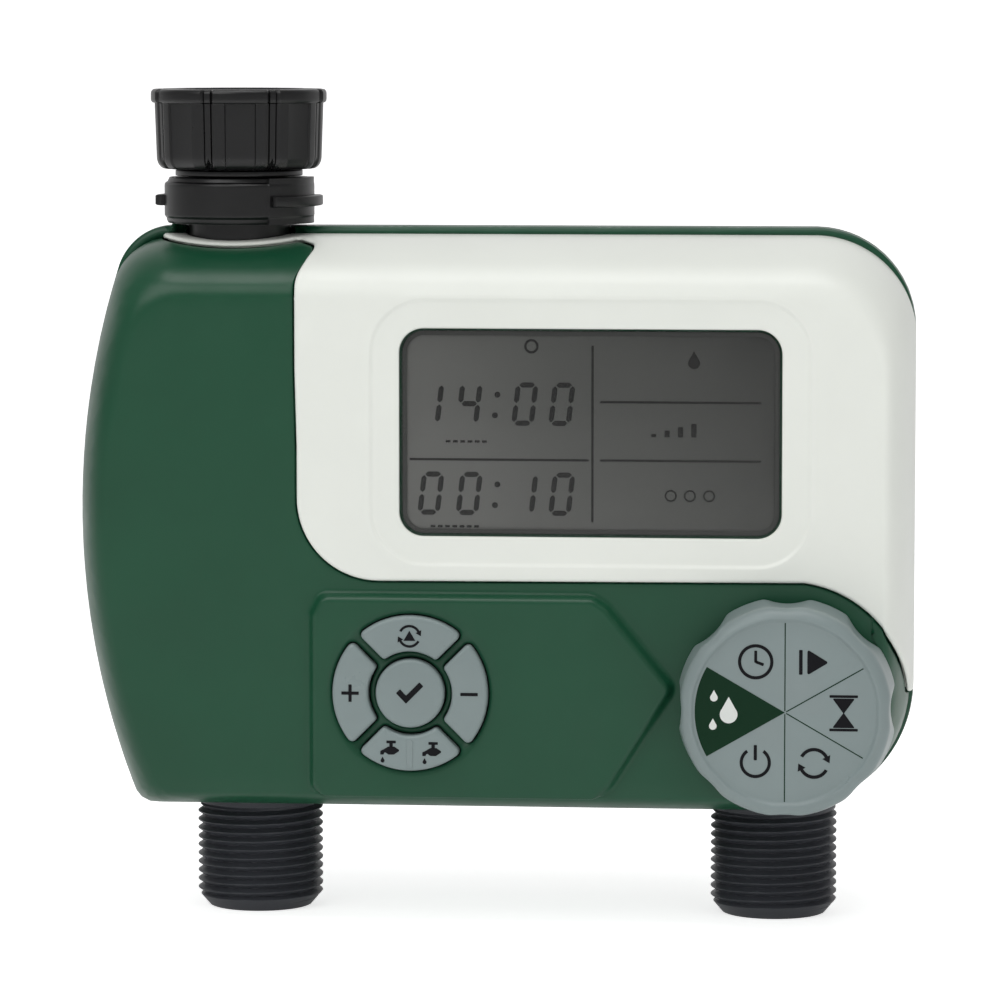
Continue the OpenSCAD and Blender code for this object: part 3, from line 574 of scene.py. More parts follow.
class Shade:
    """A Principled material with helpers to hang nodes on it."""

    def __init__(self, name, roughness, metallic=0.0, **sockets):
        self.mat = bpy.data.materials.new(name)
        self.mat.use_nodes = True
        self.nodes, self.links = self.mat.node_tree.nodes, self.mat.node_tree.links
        self.bsdf = self.nodes["Principled BSDF"]
        for key, value in dict(sockets, Roughness=roughness, Metallic=metallic).items():
            self.bsdf.inputs[key.replace("_", " ")].default_value = value
        self.place = self.nodes.new("ShaderNodeTexCoord").outputs["Object"]

    def node(self, kind, output, inputs, **options):
        """One output of a new node, whose inputs are linked to sockets or set to values."""
        n = self.nodes.new("ShaderNode" + kind)
        for key, value in options.items():
            setattr(n, key, value)
        for key, value in inputs.items():
            if isinstance(value, bpy.types.NodeSocket):
                self.links.new(value, n.inputs[key])
            else:
                n.inputs[key].default_value = value
        return n.outputs[output]

    def noise(self, scale, detail=3.0, rough=0.5, vector=None):
        """Cloudy noise over the object, about 0.5."""
        return self.node("TexNoise", "Fac", {"Scale": scale, "Detail": detail, "Roughness": rough,
                                             "Vector": vector or self.place})

    def along(self, axis):
        """One coordinate of the object's own space."""
        return self.node("SeparateXYZ", axis, {"Vector": self.place})

    def spread(self, value, low, high, out_low, out_high):
        """A value carried from one range to another and held inside it."""
        return self.node("MapRange", "Result", {"Value": value, "From Min": low, "From Max": high,
                                                "To Min": out_low, "To Max": out_high})

    def mix(self, fac, a, b):
        """A colour from a at 0 to b at 1."""
        return self.node("Mix", 2, {"Factor": fac, 6: a, 7: b}, data_type="RGBA")

    def colour(self, socket):
        self.links.new(socket, self.bsdf.inputs["Base Color"])

    def roughness(self, socket):
        self.links.new(socket, self.bsdf.inputs["Roughness"])

    def bump(self, height, strength, distance=0.0002, onto=None):
        """Raises the surface by a height, on top of an earlier bump if one is given."""
        inputs = {"Strength": strength, "Distance": distance, "Height": height}
        if onto is not None:
            inputs["Normal"] = onto
        normal = self.node("Bump", "Normal", inputs)
        self.links.new(normal, self.bsdf.inputs["Normal"])
        return normal


def moulded(name, rgb, rough, grain=2600, bump=0.08, tint=0.07, edge_highlight=0.1, spread=0.05, **sockets):
    """Moulded plastic: fine grain, slow change of colour and gloss, sharp convex edges painted slightly
    lighter as a highlight.
    """
    s = Shade(name, rough, **sockets)
    base = np.array(linear(rgb))
    dark = base * (1 - tint)
    light = np.minimum(base * (1 + tint), 1)
    highlight_colour = base * 0.6 + 0.4 * np.array([1, 1, 1, 1]) * max(base[:3])
    dark[3] = light[3] = highlight_colour[3] = 1
    slow = s.mix(s.spread(s.noise(38, 4, 0.55), 0.35, 0.65, 0, 1), tuple(dark), tuple(light))
    # Painted highlight: convex edges, found by pointiness, are mixed towards a paler colour as if they caught
    # the light
    edges = s.spread(s.node("NewGeometry", "Pointiness", {}), 0.515, 0.58, 0, 1)
    highlight_share = s.spread(edges, 0, 1, 0, edge_highlight)
    s.colour(s.mix(highlight_share, slow, tuple(highlight_colour)))
    s.roughness(s.spread(s.noise(95, 5, 0.6), 0.3, 0.7, rough - spread, rough + spread))
    first = s.bump(s.noise(grain, 2, 0.6), bump, 0.00008)
    s.bump(s.noise(140, 2, 0.5), 0.04, 0.0003, first)
    return s.mat


def metal(name, rgb, rough, brushed=(40, 40, 2200)):
    """Drawn or rolled metal: brushed lines, stretched by brushed, and slow dull patches."""
    s = Shade(name, rough, 1.0)
    base = np.array(linear(rgb))
    dull = base * [0.78, 0.78, 0.78, 1]
    lines = s.noise(1.0, 3, 0.6, s.node("Mapping", "Vector", {"Vector": s.place, "Scale": brushed}))
    s.colour(s.mix(s.spread(s.noise(210, 4), 0.35, 0.7, 0, 1), tuple(base), tuple(dull)))
    s.roughness(s.spread(lines, 0.3, 0.7, rough - 0.07, rough + 0.1))
    s.bump(lines, 0.12, 0.00005)
    return s.mat


GREEN = moulded("green_moulding", (22, 75, 51), 0.33, grain=2400, bump=0.05, tint=0.05, edge_highlight=0.10,
                Specular_IOR_Level=0.4)
WHITE = moulded("white_moulding", (240, 243, 236), 0.34, grain=3000, bump=0.03, tint=0.012, edge_highlight=0.0)
GREY = moulded("grey_moulding", (134, 147, 147), 0.32, grain=3200, bump=0.18, tint=0.03, edge_highlight=0.15,
               Specular_IOR_Level=0.4)
BLACK = moulded("black_moulding", (15, 15, 16), 0.31, grain=2200, bump=0.10, tint=0.10, edge_highlight=0.06,
                Specular_IOR_Level=0.5)
OUTLET = moulded("outlet_moulding", (60, 62, 67), 0.40, grain=2600, bump=0.10, tint=0.08, edge_highlight=0.08,
                 Specular_IOR_Level=0.3)
NYLON = moulded("filled_nylon", (34, 34, 36), 0.55, grain=1500, bump=0.30, tint=0.16, edge_highlight=0.2)
NATURAL = moulded("natural_nylon", (214, 210, 196), 0.5, grain=1800, bump=0.15, tint=0.05, edge_highlight=0.0)
SWITCH = moulded("switch_moulding", (38, 44, 66), 0.45, grain=2600, bump=0.12, tint=0.1, edge_highlight=0.1)
RUBBER = moulded("seal_rubber_black", (26, 26, 27), 0.72, grain=1900, bump=0.35, tint=0.2, edge_highlight=0.25,
                 spread=0.08)
SILICONE = moulded("mat_silicone", (74, 76, 80), 0.66, grain=1700, bump=0.25, tint=0.1, edge_highlight=0.1)
LEAD = moulded("lead_pvc", (132, 26, 28), 0.45, grain=1500, bump=0.1, tint=0.1, edge_highlight=0.05)
INK = moulded("legend_ink", (8, 8, 14), 0.5, grain=5200, bump=0.12, tint=0.12, edge_highlight=0.0,
              Specular_IOR_Level=0.2)
DIAL_INK = moulded("dial_ink", (0, 44, 22), 0.45, grain=5200, bump=0.1, tint=0.08, edge_highlight=0.0,
                   Specular_IOR_Level=0.2)
BORDER = moulded("window_border_ink", (70, 71, 69), 0.5, grain=5200, bump=0.05, tint=0.05, edge_highlight=0.0)
WHITE_INK = moulded("white_ink", (226, 230, 226), 0.5, grain=5200, bump=0.1, tint=0.03, edge_highlight=0.0)
STEEL = metal("bright_steel", (196, 198, 201), 0.3)
BRASS = metal("rolled_brass", (206, 172, 92), 0.28)
WIRE = metal("enamelled_wire", (178, 96, 52), 0.32, (30, 30, 900))


def lcd_material():
    """Grey reflective display with painted shade: paler to the left and below, darker to the right and at the
    top, with a slow cloud over it.
    """
    s = Shade("lcd_grey", 0.42)
    # Painted shade and light: the tone slopes from pale at the lower left to dark at the upper right
    across = s.spread(s.along("X"), DISPLAY_LOW[0] * MM, DISPLAY_HIGH[0] * MM, 1, 0)
    down = s.spread(s.along("Z"), DISPLAY_LOW[2] * MM, DISPLAY_HIGH[2] * MM, 0.35, 0)
    slope = s.node("Math", 0, {0: across, 1: down}, operation="ADD")
    cloud_and_painted_shade = s.node("Math", 0, {0: s.noise(26, 2, 0.5), 1: 0.5, 2: slope}, operation="MULTIPLY_ADD")
    s.colour(s.mix(s.spread(cloud_and_painted_shade, 0.25, 1.7, 0, 1), linear((82, 83, 81)), linear((160, 161, 157))))
    s.bump(s.noise(2600, 1, 0.5), 0.04, 0.00005)
    return s.mat


def lens_material():
    """Thin tinted acrylic with a soft gloss."""
    s = Shade("window_acrylic", 0.1, IOR=1.49, Alpha=0.22)
    s.colour(s.mix(s.noise(60, 2), linear((38, 39, 38)), linear((50, 51, 50))))
    s.roughness(s.spread(s.noise(300, 4), 0.3, 0.7, 0.07, 0.16))
    s.bump(s.noise(90, 2), 0.03, 0.0002)
    return s.mat


def segment_material():
    """Dark segments of the display."""
    s = Shade("lcd_segment", 0.4)
    s.colour(s.mix(s.noise(700, 3), linear((38, 38, 38)), linear((48, 48, 47))))
    s.bump(s.noise(2600, 1, 0.5), 0.04, 0.00005)
    return s.mat


def board_material():
    """Solder mask over copper tracks, drawn by a cell pattern."""
    s = Shade("solder_mask", 0.32)
    cells = s.node("TexVoronoi", "Distance", {"Scale": 240, "Randomness": 0.35, "Vector": s.place},
                   feature="DISTANCE_TO_EDGE")
    track = s.spread(cells, 0.04, 0.07, 1, 0)
    s.colour(s.mix(track, linear((12, 84, 52)), linear((34, 118, 70))))
    s.bump(track, 0.3, 0.00004)
    s.roughness(s.spread(s.noise(400, 3), 0.3, 0.7, 0.26, 0.4))
    return s.mat


def cell_material():
    """Battery jacket: dark body with a copper-coloured band at the positive end."""
    s = Shade("cell_wrap", 0.3)
    low, high = box_mm("battery_cells")
    edge = (low[0] + 0.72 * (high[0] - low[0])) * MM
    band = s.spread(s.along("X"), edge, edge + 0.0002, 0, 1)
    s.colour(s.mix(band, linear((30, 31, 33)), linear((176, 118, 62))))
    s.roughness(s.spread(s.noise(240, 4), 0.3, 0.7, 0.22, 0.38))
    s.bump(s.noise(500, 2), 0.06, 0.0001)
    return s.mat


def floor_material():
    """Pale floor that glows a little, more so to the camera than to the part."""
    s = Shade("studio_floor", 0.85, Emission_Color=(1, 1, 1, 1))
    seen = s.node("LightPath", "Is Camera Ray", {})
    s.links.new(s.spread(seen, 0, 1, 0.2, 0.68), s.bsdf.inputs["Emission Strength"])
    s.colour(s.mix(s.noise(9, 2), linear((247, 247, 247)), linear((251, 251, 251))))
    s.bump(s.noise(260, 2), 0.02, 0.0002)
    return s.mat


LCD, LENS, SEGMENT, BOARD = lcd_material(), lens_material(), segment_material(), board_material()
CELL, FLOOR = cell_material(), floor_material()


# ---- Regions of the front, seen from the front ----

def fascia_outline():
    """Edge of the white cover: down beside the neck, along below the window, round the dial."""
    r, bottom, left = 17.0, -89.7, 15.3
    sweep_r = 24.8
    past = 4.0
    return np.concatenate([
        rounded([[3, Z_FRONT_TOP + past], [3, -20.2], [14.2, -19.9], [18.1, -20.8], [16.7, -23.4],
                 [left - 0.4, -27], [left - 0.4, -46], [left, -62], [left, bottom + r]],
                [0, 0, 4, 1.6, 4, 8, 30, 30, 0]),
        arc(left + r, bottom + r, r, 180, 270, 26)[1:],
        arc(DIAL_X, bottom - sweep_r + 0.6, sweep_r, 82, 2, 26),
        [[X_RIGHT + 3, DIAL_Z - 6], [X_RIGHT + 3, Z_FRONT_TOP + past]],
    ])


def tongue_loop():
    """The white lip that runs round the front of the neck, in the chart."""
    wide, deep = 16.2, 13.4
    a = np.radians(np.linspace(0, 180, 61))
    c = FRONT.from_edge(wide * np.cos(a), -deep * np.sin(a), True)
    past = c[0, 1] + 3
    return np.concatenate([c, [[-wide, past], [wide, past]]])


FASCIA_LOOP = FRONT.from_front(spaced(fascia_outline(), 0.8))
TONGUE_LOOP = tongue_loop()
WINDOW_LOOP = box_outline(LENS_LOW, LENS_HIGH, LENS_SLACK, WINDOW_R)
PLATEAU_LOOP = FRONT.from_front(spaced(rounded(
    [[18.4, -96.5], [20.4, -92.6], [76.5, -92.6], [79.4, -94.4], [93.2, -111.2],
     [80.4, -131.5], [77.4, -134.2], [20.2, -134.2], [18.4, -132]],
    [2, 2.5, 3, 3, 2.5, 3, 3, 2, 2]), 0.8))
KEY_GAP = 0.3
DIAL_SEAT_R, DIAL_SEAT_DROP = 5.1, 1.6
SPINDLE_HOLE_R = 3.08
FRONT_RIM = FRONT.rim()
REAR_RIM = REAR.rim()


def ring_key_outline(direction):
    """One of the four keys round the middle one; direction is its angle in degrees."""
    r_out, r_in, start = 16.1, 8.75, 2.05 / math.sqrt(2)

    def reach(r):
        """Half the angle that the key takes up at radius r."""
        x = (start + math.sqrt(2 * r * r - start * start)) / 2
        return math.degrees(math.asin((x - start) / r))

    a, b = reach(r_out), reach(r_in)
    pts = np.concatenate([arc(0, 0, r_out, -a, a, 9), arc(0, 0, r_in, b, -b, 5)])
    radii = [1.1] + [r_out] * 8 + [1.1, 0.8] + [r_in] * 4 + [0.8]
    loop = rounded(pts, radii, 0.3)
    t = math.radians(direction)
    turn = np.array([[math.cos(t), -math.sin(t)], [math.sin(t), math.cos(t)]])
    return loop @ turn.T + [KEY_X, KEY_Z]


KEY_LOOPS = {name: ring_key_outline(direction) for name, direction in
             (("cycle", 90), ("plus", 180), ("minus", 0), ("valves", 270))}
KEY_LOOPS["confirm"] = circle(KEY_X, KEY_Z, 7.1, 96)


def in_fascia(c):
    """Signed distance to the edge of the white cover with its tongue."""
    return np.maximum(depth_in(c, FASCIA_LOOP), depth_in(c, TONGUE_LOOP))


# ---- Case shells ----

def rim_break(c, rim):
    """A small slope towards the parting line, gentle enough for the wall to stay upright there."""
    return RIM_BREAK * np.clip(1 - depth_in(c, rim) / RIM_BREAK_W, 0, 1) ** 1.3


def edge_lines(form, rim, distances):
    """Closed lines near the rim and round the start of the shoulder, so that both shade smoothly."""
    base = spaced(form.base, 2.0)
    return offsets(rim, distances) + [form.move(base, form.chart_inset(np.full(len(base), u)))
                                      for u in (1.0, 0.95, 0.88, 0.78, 0.66)]


def centre_distance(c, x, z):
    """How far chart points on the face lie from x, z."""
    return np.hypot(c[:, 0] - x, c[:, 1] - z)


def green_height(c):
    """Level of the green front above the case form."""
    d = in_fascia(c) + FASCIA_GAP / 2
    green = -GREEN_DROP - roll_off(-d, 0.35)
    h = np.where(d > 0, -RECESS_DROP, np.maximum(green, -RECESS_DROP))
    p = depth_in(c, PLATEAU_LOOP)
    h = h + np.where(d > 0, 0, PLATEAU_RISE * ease((p + 0.9) / 1.8))
    h = h - KEY_DISH_DROP * ease((KEY_DISH_R - centre_distance(c, KEY_X, KEY_Z)) / 3.2)
    w = np.max([depth_in(c, loop) for loop in KEY_LOOPS.values()], axis=0) + KEY_GAP
    h = h - KEY_EDGE * np.clip(1 + w / KEY_EDGE_W, 0, 1) ** 1.2
    h = np.where(centre_distance(c, DIAL_X, DIAL_Z) < DIAL_SEAT_R, -GREEN_DROP - DIAL_SEAT_DROP, h)
    return h - rim_break(c, FRONT_RIM)


def front_shell():
    """Green front shell with its window, key openings and spindle hole."""
    ledge = 1.0
    window = box_outline(LENS_LOW, LENS_HIGH, LENS_SLACK - ledge, WINDOW_R - ledge)
    seam = [-FASCIA_GAP / 2 - e for e in (0, 0.05, 0.12, 0.25, 0.4, 0.8)]
    lines = offsets(FASCIA_LOOP, seam) + offsets(TONGUE_LOOP, seam)
    lines += offsets(PLATEAU_LOOP, [-1.4, -0.9, -0.6, -0.3, 0, 0.3, 0.6, 0.9, 1.4])
    for loop in KEY_LOOPS.values():
        lines += offsets(loop, [-KEY_GAP - e for e in (0.1, 0.22, 0.4)])
    lines += [circle(KEY_X, KEY_Z, KEY_DISH_R + e, 90) for e in (-0.4, 0.1)]
    lines += [circle(DIAL_X, DIAL_Z, DIAL_SEAT_R + e, 48) for e in (-0.05, 0.05)]
    lines += edge_lines(FRONT, FRONT_RIM, [0.06, 0.15, 0.3, 0.7])
    holes = [window, circle(DIAL_X, DIAL_Z, SPINDLE_HOLE_R, 40)]
    holes += [inward(loop, -KEY_GAP) for loop in KEY_LOOPS.values()]
    shell = skin("front_shell", FRONT, FRONT_RIM, holes, lines, green_height, GREEN, WALL)
    finish_piece(shell, "case", "green_plastic", "front_housing")


def fascia_height(c):
    """Level of the white cover, with the stepped border round its window."""
    d = in_fascia(c) - FASCIA_GAP / 2
    w = -depth_in(c, WINDOW_LOOP)
    bezel = 0.4 * ease((6.3 - w) / 1.0) + 0.26 * np.clip(1 - w / 5.3, 0, 1) + 0.16 * ease((w - 6.5) / 2.6)
    return FASCIA_RISE - bezel - roll_off(d, 0.7) - roll_off(w, 0.4) - rim_break(c, FRONT_RIM)


def fascia():
    """White cover round the display, cut to its edge from the front form."""
    g = FASCIA_GAP / 2
    seam = [g + e for e in (0, 0.05, 0.15, 0.3, 0.5, 0.75, 1.3)]
    lines = offsets(FASCIA_LOOP, seam) + offsets(TONGUE_LOOP, seam)
    border = [0.05, 0.15, 0.3, 0.5, 1.1, 2.4, 3.9, 4.8, 5.3, 5.5, 5.7, 5.9, 6.1, 6.3, 6.5, 7.2, 8.0, 9.1]
    lines += offsets(WINDOW_LOOP, [-e for e in border])
    lines += edge_lines(FRONT, FRONT_RIM, [0.06, 0.15, 0.3, 0.7])

    def inside_fascia(p):
        return (in_fascia(p) > g - 1e-4) & (depth_in(p, WINDOW_LOOP) < 0)

    obj = skin("front_fascia_moulding", FRONT, FRONT_RIM, [WINDOW_LOOP], lines, fascia_height,
               WHITE, 1.3, keep=inside_fascia)
    finish_piece(obj, "case", "white_plastic", "front_fascia")


DOOR_RECESS = 3.0
BAY_MARGIN = 3.0
SCREW_WELL = 5.0
WELL_R, SCREW_HOLE_R, POST_R = 3.3, 1.7, 4.2
CASE_SCREW_AT = [[-18, -62], [-16, -125], [75, -128], [131, -87], [129, -40], [26, -31.5]]
BAY_LOOP = box_outline(DOOR_LOW, DOOR_HIGH, -BAY_MARGIN, 1.0)
DOOR_SEAT_LOOP = box_outline(DOOR_LOW, DOOR_HIGH, 0.3, 2.3)


def rear_height(c):
    """Level of the rear shell, with the door's seat and the screw wells."""
    d = depth_in(c, DOOR_SEAT_LOOP)
    h = np.where(d > 0, -DOOR_RECESS, -roll_off(-d, 0.5))
    for x, z in CASE_SCREW_AT:
        w = WELL_R - centre_distance(c, x, z)
        h = np.where(w > 0, -SCREW_WELL, h - roll_off(-w, 0.4))
    return h - rim_break(c, REAR_RIM)


def rear_shell():
    """Green rear shell with its battery bay and the posts for the case screws."""
    lines = offsets(DOOR_SEAT_LOOP, [0.05, 0, -0.08, -0.2, -0.35, -0.55, -1.0])
    for x, z in CASE_SCREW_AT:
        lines += [circle(x, z, WELL_R + e, 40) for e in (-0.05, 0, 0.07, 0.18, 0.4, 0.8)]
    lines += edge_lines(REAR, REAR_RIM, [0.08, 0.2, 0.45, 0.9])
    screws = [circle(x, z, SCREW_HOLE_R, 20) for x, z in CASE_SCREW_AT]
    parts = [skin("rear_shell", REAR, REAR_RIM, [BAY_LOOP, *screws], lines, rear_height, GREEN, WALL)]
    bay, front, floor_t = box_outline(DOOR_LOW, DOOR_HIGH, 2 - BAY_MARGIN, 2.5), 0.1, 1.9
    seat = REAR_DEPTH - DOOR_RECESS
    parts.append(fill("bay_walls", [bay, BAY_LOOP], front + floor_t, seat - WALL - front - floor_t, GREEN))
    parts.append(fill("bay_floor", [bay], front, floor_t, GREEN))
    for x, z in CASE_SCREW_AT:
        parts.append(fill("post", [circle(x, z, POST_R, 40), circle(x, z, SCREW_HOLE_R, 24)], front,
                          REAR_DEPTH - SCREW_WELL - 2.5, GREEN))
    finish_piece(joined("rear_shell", parts), "case", "green_plastic", "rear_housing")


def battery_door():
    """Door with round edges and a grip of moulded ribs in a shallow pocket."""
    front, back = DOOR_LOW[1], DOOR_HIGH[1]
    mid_x, foot = (DOOR_LOW[0] + DOOR_HIGH[0]) / 2, DOOR_LOW[2]
    outline = box_outline(DOOR_LOW, DOOR_HIGH, 0, 2.0)
    pocket = rounded_box(mid_x - 14, foot + 3.2, mid_x + 14, foot + 14.0, 5.0)
    lines = offsets(outline, [0.06, 0.15, 0.3, 0.5, 0.75, 1.3])
    lines += offsets(pocket, [-0.8, -0.5, -0.2, 0.1, 0.4, 0.7, 1.0, 1.5])
    c, tris = triangulate(outline, (), lines, 1.0)
    g = depth_in(c, pocket)
    ribs = 0.45 * np.cos((c[:, 1] - pocket[:, 1].min()) / 2.4 * TAU) ** 2
    level = -roll_off(depth_in(c, outline), 0.7) - 1.0 * ease((g + 0.5) / 1.2)
    level = level + np.where(g > 0.6, ribs * ease((g - 0.6) / 0.8), 0)
    p = np.stack([c[:, 0], back + level, c[:, 1]], axis=1)
    obj = new_object("battery_door_cover", p, tris[:, ::-1].tolist(), GREEN, 50)
    if sum(f.normal[1] * f.area for f in obj.data.polygons) < 0:
        obj.data.flip_normals()
    thicken(obj, back - front - 1.4, False)
    finish_piece(obj, "battery_drawer", "green_plastic", "battery_door")


# ---- Turned parts ----

def thread_rise(phase, flank, crest):
    """Height of a thread from 0 at the root to 1 at the crest; phase counts turns."""
    t = np.abs((phase % 1.0) - 0.5) * 2
    return np.clip((1 - t - (1 - crest - 2 * flank) / 2) / (2 * flank), 0, 1)


NUT_PHASE = math.radians(9)


def nut_piece():
    """Swivel nut: a lobed body, a split flange at the mouth and a female thread."""
    low, high = box_mm("inlet_nut")
    bottom, mouth = low[2], high[2]
    flange_z = mouth - 2.9
    body_r, flange_r, root, shelf, neck_hole = 17.95, 18.42, THREAD_MAJOR + 0.1, 12.3, 10.4
    foot, mouth_round, under_round = 2.4, 0.95, 0.8
    lobes = 8
    lobe = TAU / lobes

    def outer(z, th):
        """Outside radius: lobes with a flat scoop, ribs between grooves, flange at the mouth."""
        d = np.abs((th + math.pi / 2 - NUT_PHASE + lobe / 2) % lobe - lobe / 2)
        deg = np.degrees(d)
        rib = 180 / lobes - deg
        groove = ease((3.1 - rib) / 0.4) - ease((2.4 - rib) / 0.4)
        scoop = 0.4 * ease((10.6 - deg) / 0.6) + 0.4 * np.clip(1 - (deg / 10.2) ** 2, 0, 1)
        body = body_r - scoop - 0.4 * groove - 0.2 * ease((5.6 - rib) / 3.0) - 0.035 * (flange_z - z)
        flange = flange_r - 0.5 * ease((4.6 - rib) / 1.6) - 0.3 * groove
        return np.where(z > flange_z, flange, body), rib

    zs = [bottom + e for e in (0, 0.08, 0.22, 0.42, 0.66, 0.94, 1.25, 1.6, 2.0, 2.45)]
    zs += list(np.linspace(bottom + 3.2, flange_z - 0.7, 8)) + [flange_z - 0.25, flange_z - 0.02]
    zs += [flange_z + e for e in (0.02, 0.08, 0.18, 0.34, 0.55, 0.8, 1.1)]
    zs += [mouth - e for e in (0.95, 0.7, 0.5, 0.32, 0.18, 0.07, 0)]
    shell = [(body_r, z) for z in zs]
    inner = [(root + 0.75, mouth), (root + 0.55, mouth - 0.12), (root, mouth - 0.7)]
    steps = np.arange(mouth - 0.9, -0.4, -0.15)
    inner += [(root, z) for z in steps]
    inner += [(shelf, -0.9), (shelf, -3.8), (neck_hole, -3.8), (neck_hole, bottom)]
    rows = shell + inner
    outer_n = len(shell)

    def warp(r, z, th):
        out, rib = outer(z, th)
        lower = np.clip((bottom + foot - z) / foot, 0, 1)
        out = out - foot * quarter(lower) * 0.8
        out = out - 1.2 * ease((4.0 * lower - rib) / 1.8) * (z < flange_z)
        top = np.clip((z - (mouth - mouth_round)) / mouth_round, 0, 1)
        out = out - 0.85 * quarter(top)
        under = np.clip((flange_z + under_round - z) / under_round, 0, 1) * (z > flange_z)
        out = out - 0.6 * quarter(under)
        rr = r * np.ones_like(th)
        rr[:outer_n] = out[:outer_n]
        k = slice(outer_n + 3, outer_n + 3 + len(steps))
        rise = thread_rise(z[k] / THREAD_PITCH - th / TAU, 0.3, 0.2)
        fade = ease((z[k] + 0.3) / 1.2) * ease((mouth - 0.7 - z[k]) / 0.8)
        rr[k] = root - (root - THREAD_MINOR) * rise * fade
        return rr, z

    obj = lathe("union_nut", rows, 720, BLACK, warp, angle=32)
    finish_piece(obj, "nut", "black_plastic", "inlet_nut")


COLLAR_PANEL, PANEL_HALF = -22.0, 37
LUG_MIDDLE, LUG_HALF = -23.5, 33.5


def collar_piece():
    """Clamping ring with one raised panel and two thin lugs opposite each other."""
    low, high = box_mm("union_collar")
    z0, z1 = low[2], high[2]
    rows = rounded([[NECK_R + 0.1, z1], [14.6, z1], [15.0, z1 - 0.9], [15.55, z1 - 1.1],
                    [15.8, z1 - 1.5], [15.8, z0 + 1.6], [15.4, z0 + 1.1], [14.9, z0], [NECK_R + 0.1, z0]],
                   [0.2, 0.35, 0.2, 0.2, 0.3, 0.3, 0.2, 0.3, 0.2], 0.12)
    rows = spaced(rows, 0.55)

    def warp(r, z, th):
        off = (np.degrees(th) - COLLAR_PANEL) % 360
        panel = np.minimum(off, 360 - off) < PANEL_HALF
        outer_side = r > 14.4
        return np.where(outer_side & panel, np.maximum(r, 15.72), r - 0.14 * (r > 15.3)), z

    parts = [lathe("union_collar_ring", rows, 480, BLACK, warp, angle=32)]
    section = rounded([[0, -13.4], [1, -13.4], [1, -11.1], [0, -11.1]], [0, 0.35, 0.35, 0], 0.08)
    half = math.radians(LUG_HALF)
    for side in (0, 180):
        mid = math.radians(side + LUG_MIDDLE)
        a = np.linspace(mid - half, mid + half, 41)
        corner = 1.0 - np.clip((half - np.abs(a - mid)) / math.radians(3), 0, 1)
        verts = []
        for angle, reach in zip(a, 17.6 - 0.9 * quarter(corner)):
            for t, z in section:
                r = 15.2 + (reach - 15.2) * t
                verts.append((r * math.cos(angle), r * math.sin(angle), z))
        parts.append(capped("lug", verts, len(section), BLACK, 35))
    finish_piece(joined("union_collar_ring", parts), "collar", "black_plastic", "union_collar")


def tailpiece():
    """The tube that the nut swivels on, with its flange and the groove of its O-ring."""
    rows = rounded([[9.05, -2], [11.8, -2], [11.8, -3.6], [10.2, -3.6], [10.2, -5.95], [13.35, -5.95],
                    [13.35, -7.1], [NECK_R, -7.1], [NECK_R, -23], [9.7, -23], [9.7, -28], [8.75, -28],
                    [8.75, -30.2], [9.7, -30.2], [9.7, -35.4], [9.2, -36], [7.6, -36], [7.6, -2.8],
                    [9.05, -2.8]], 0.18, 0.12)
    obj = lathe("inlet_neck", spaced(rows, 1.5), 128, BLACK, angle=40)
    finish_piece(obj, "case", "black_plastic", "inlet_tailpiece")


def outlet_piece(side):
    """Outlet with a male thread below the case and a sealed spigot inside it."""
    node = "outlet_" + side
    low, high = box_mm(node)
    x, end = (low[0] + high[0]) / 2, low[2]
    top = Z_BOTTOM - 0.1
    steps = np.arange(top, end + 0.45, -THREAD_PITCH / 14)
    root = THREAD_MINOR
    inner_r, groove_r, spigot_r, bore_r, neck_r, shoulder_r = 7.0, 7.9, 8.98, 9.0, 13.0, 13.6
    rows = [(inner_r, -127.8), (spigot_r, -127.8), (spigot_r, -129.4), (groove_r, -129.4),
            (groove_r, -131.6), (spigot_r, -131.6), (spigot_r, -132.25), (shoulder_r, -132.25),
            (shoulder_r, -133.6), (neck_r, -133.6), (neck_r, Z_BOTTOM + 0.4), (root, Z_BOTTOM + 0.2)]
    first = len(rows)
    rows += [(root, z) for z in steps]
    rows += [(10.95, end + 0.35), (10.8, end + 0.12), (10.5, end), (9.4, end), (9.12, end + 0.12),
             (bore_r, end + 0.4), (bore_r, -150), (bore_r, -137.5), (inner_r, -136)]

    def warp(r, z, th):
        rr = r * np.ones_like(th)
        k = slice(first, first + len(steps))
        rise = thread_rise(z[k] / THREAD_PITCH - th / TAU, 0.42, 0.06)
        fade = ease((top + 0.15 - z[k]) / 0.5)
        rr[k] = np.minimum(root + (THREAD_MAJOR - root) * rise * fade, 11.05 + 0.85 * (z[k] - end - 0.4))
        return rr, z

    obj = lathe(f"outlet_{side}_thread", rows, 160, OUTLET, warp, centre=(x, 0, 0), angle=38)
    finish_piece(obj, "case", "black_plastic", node)


def seal_ring(name, node, xs, z, r, section):
    """O-rings with a round section, standing for the square ones of the CAD."""
    rows = [(r + section * math.cos(a), section * math.sin(a)) for a in np.linspace(0, TAU, 13)[:-1]]
    parts = [lathe(name, rows, 64, RUBBER, centre=(x, 0, z), angle=80) for x in xs]
    finish_piece(joined(name, parts), "case", "seal_rubber", node)


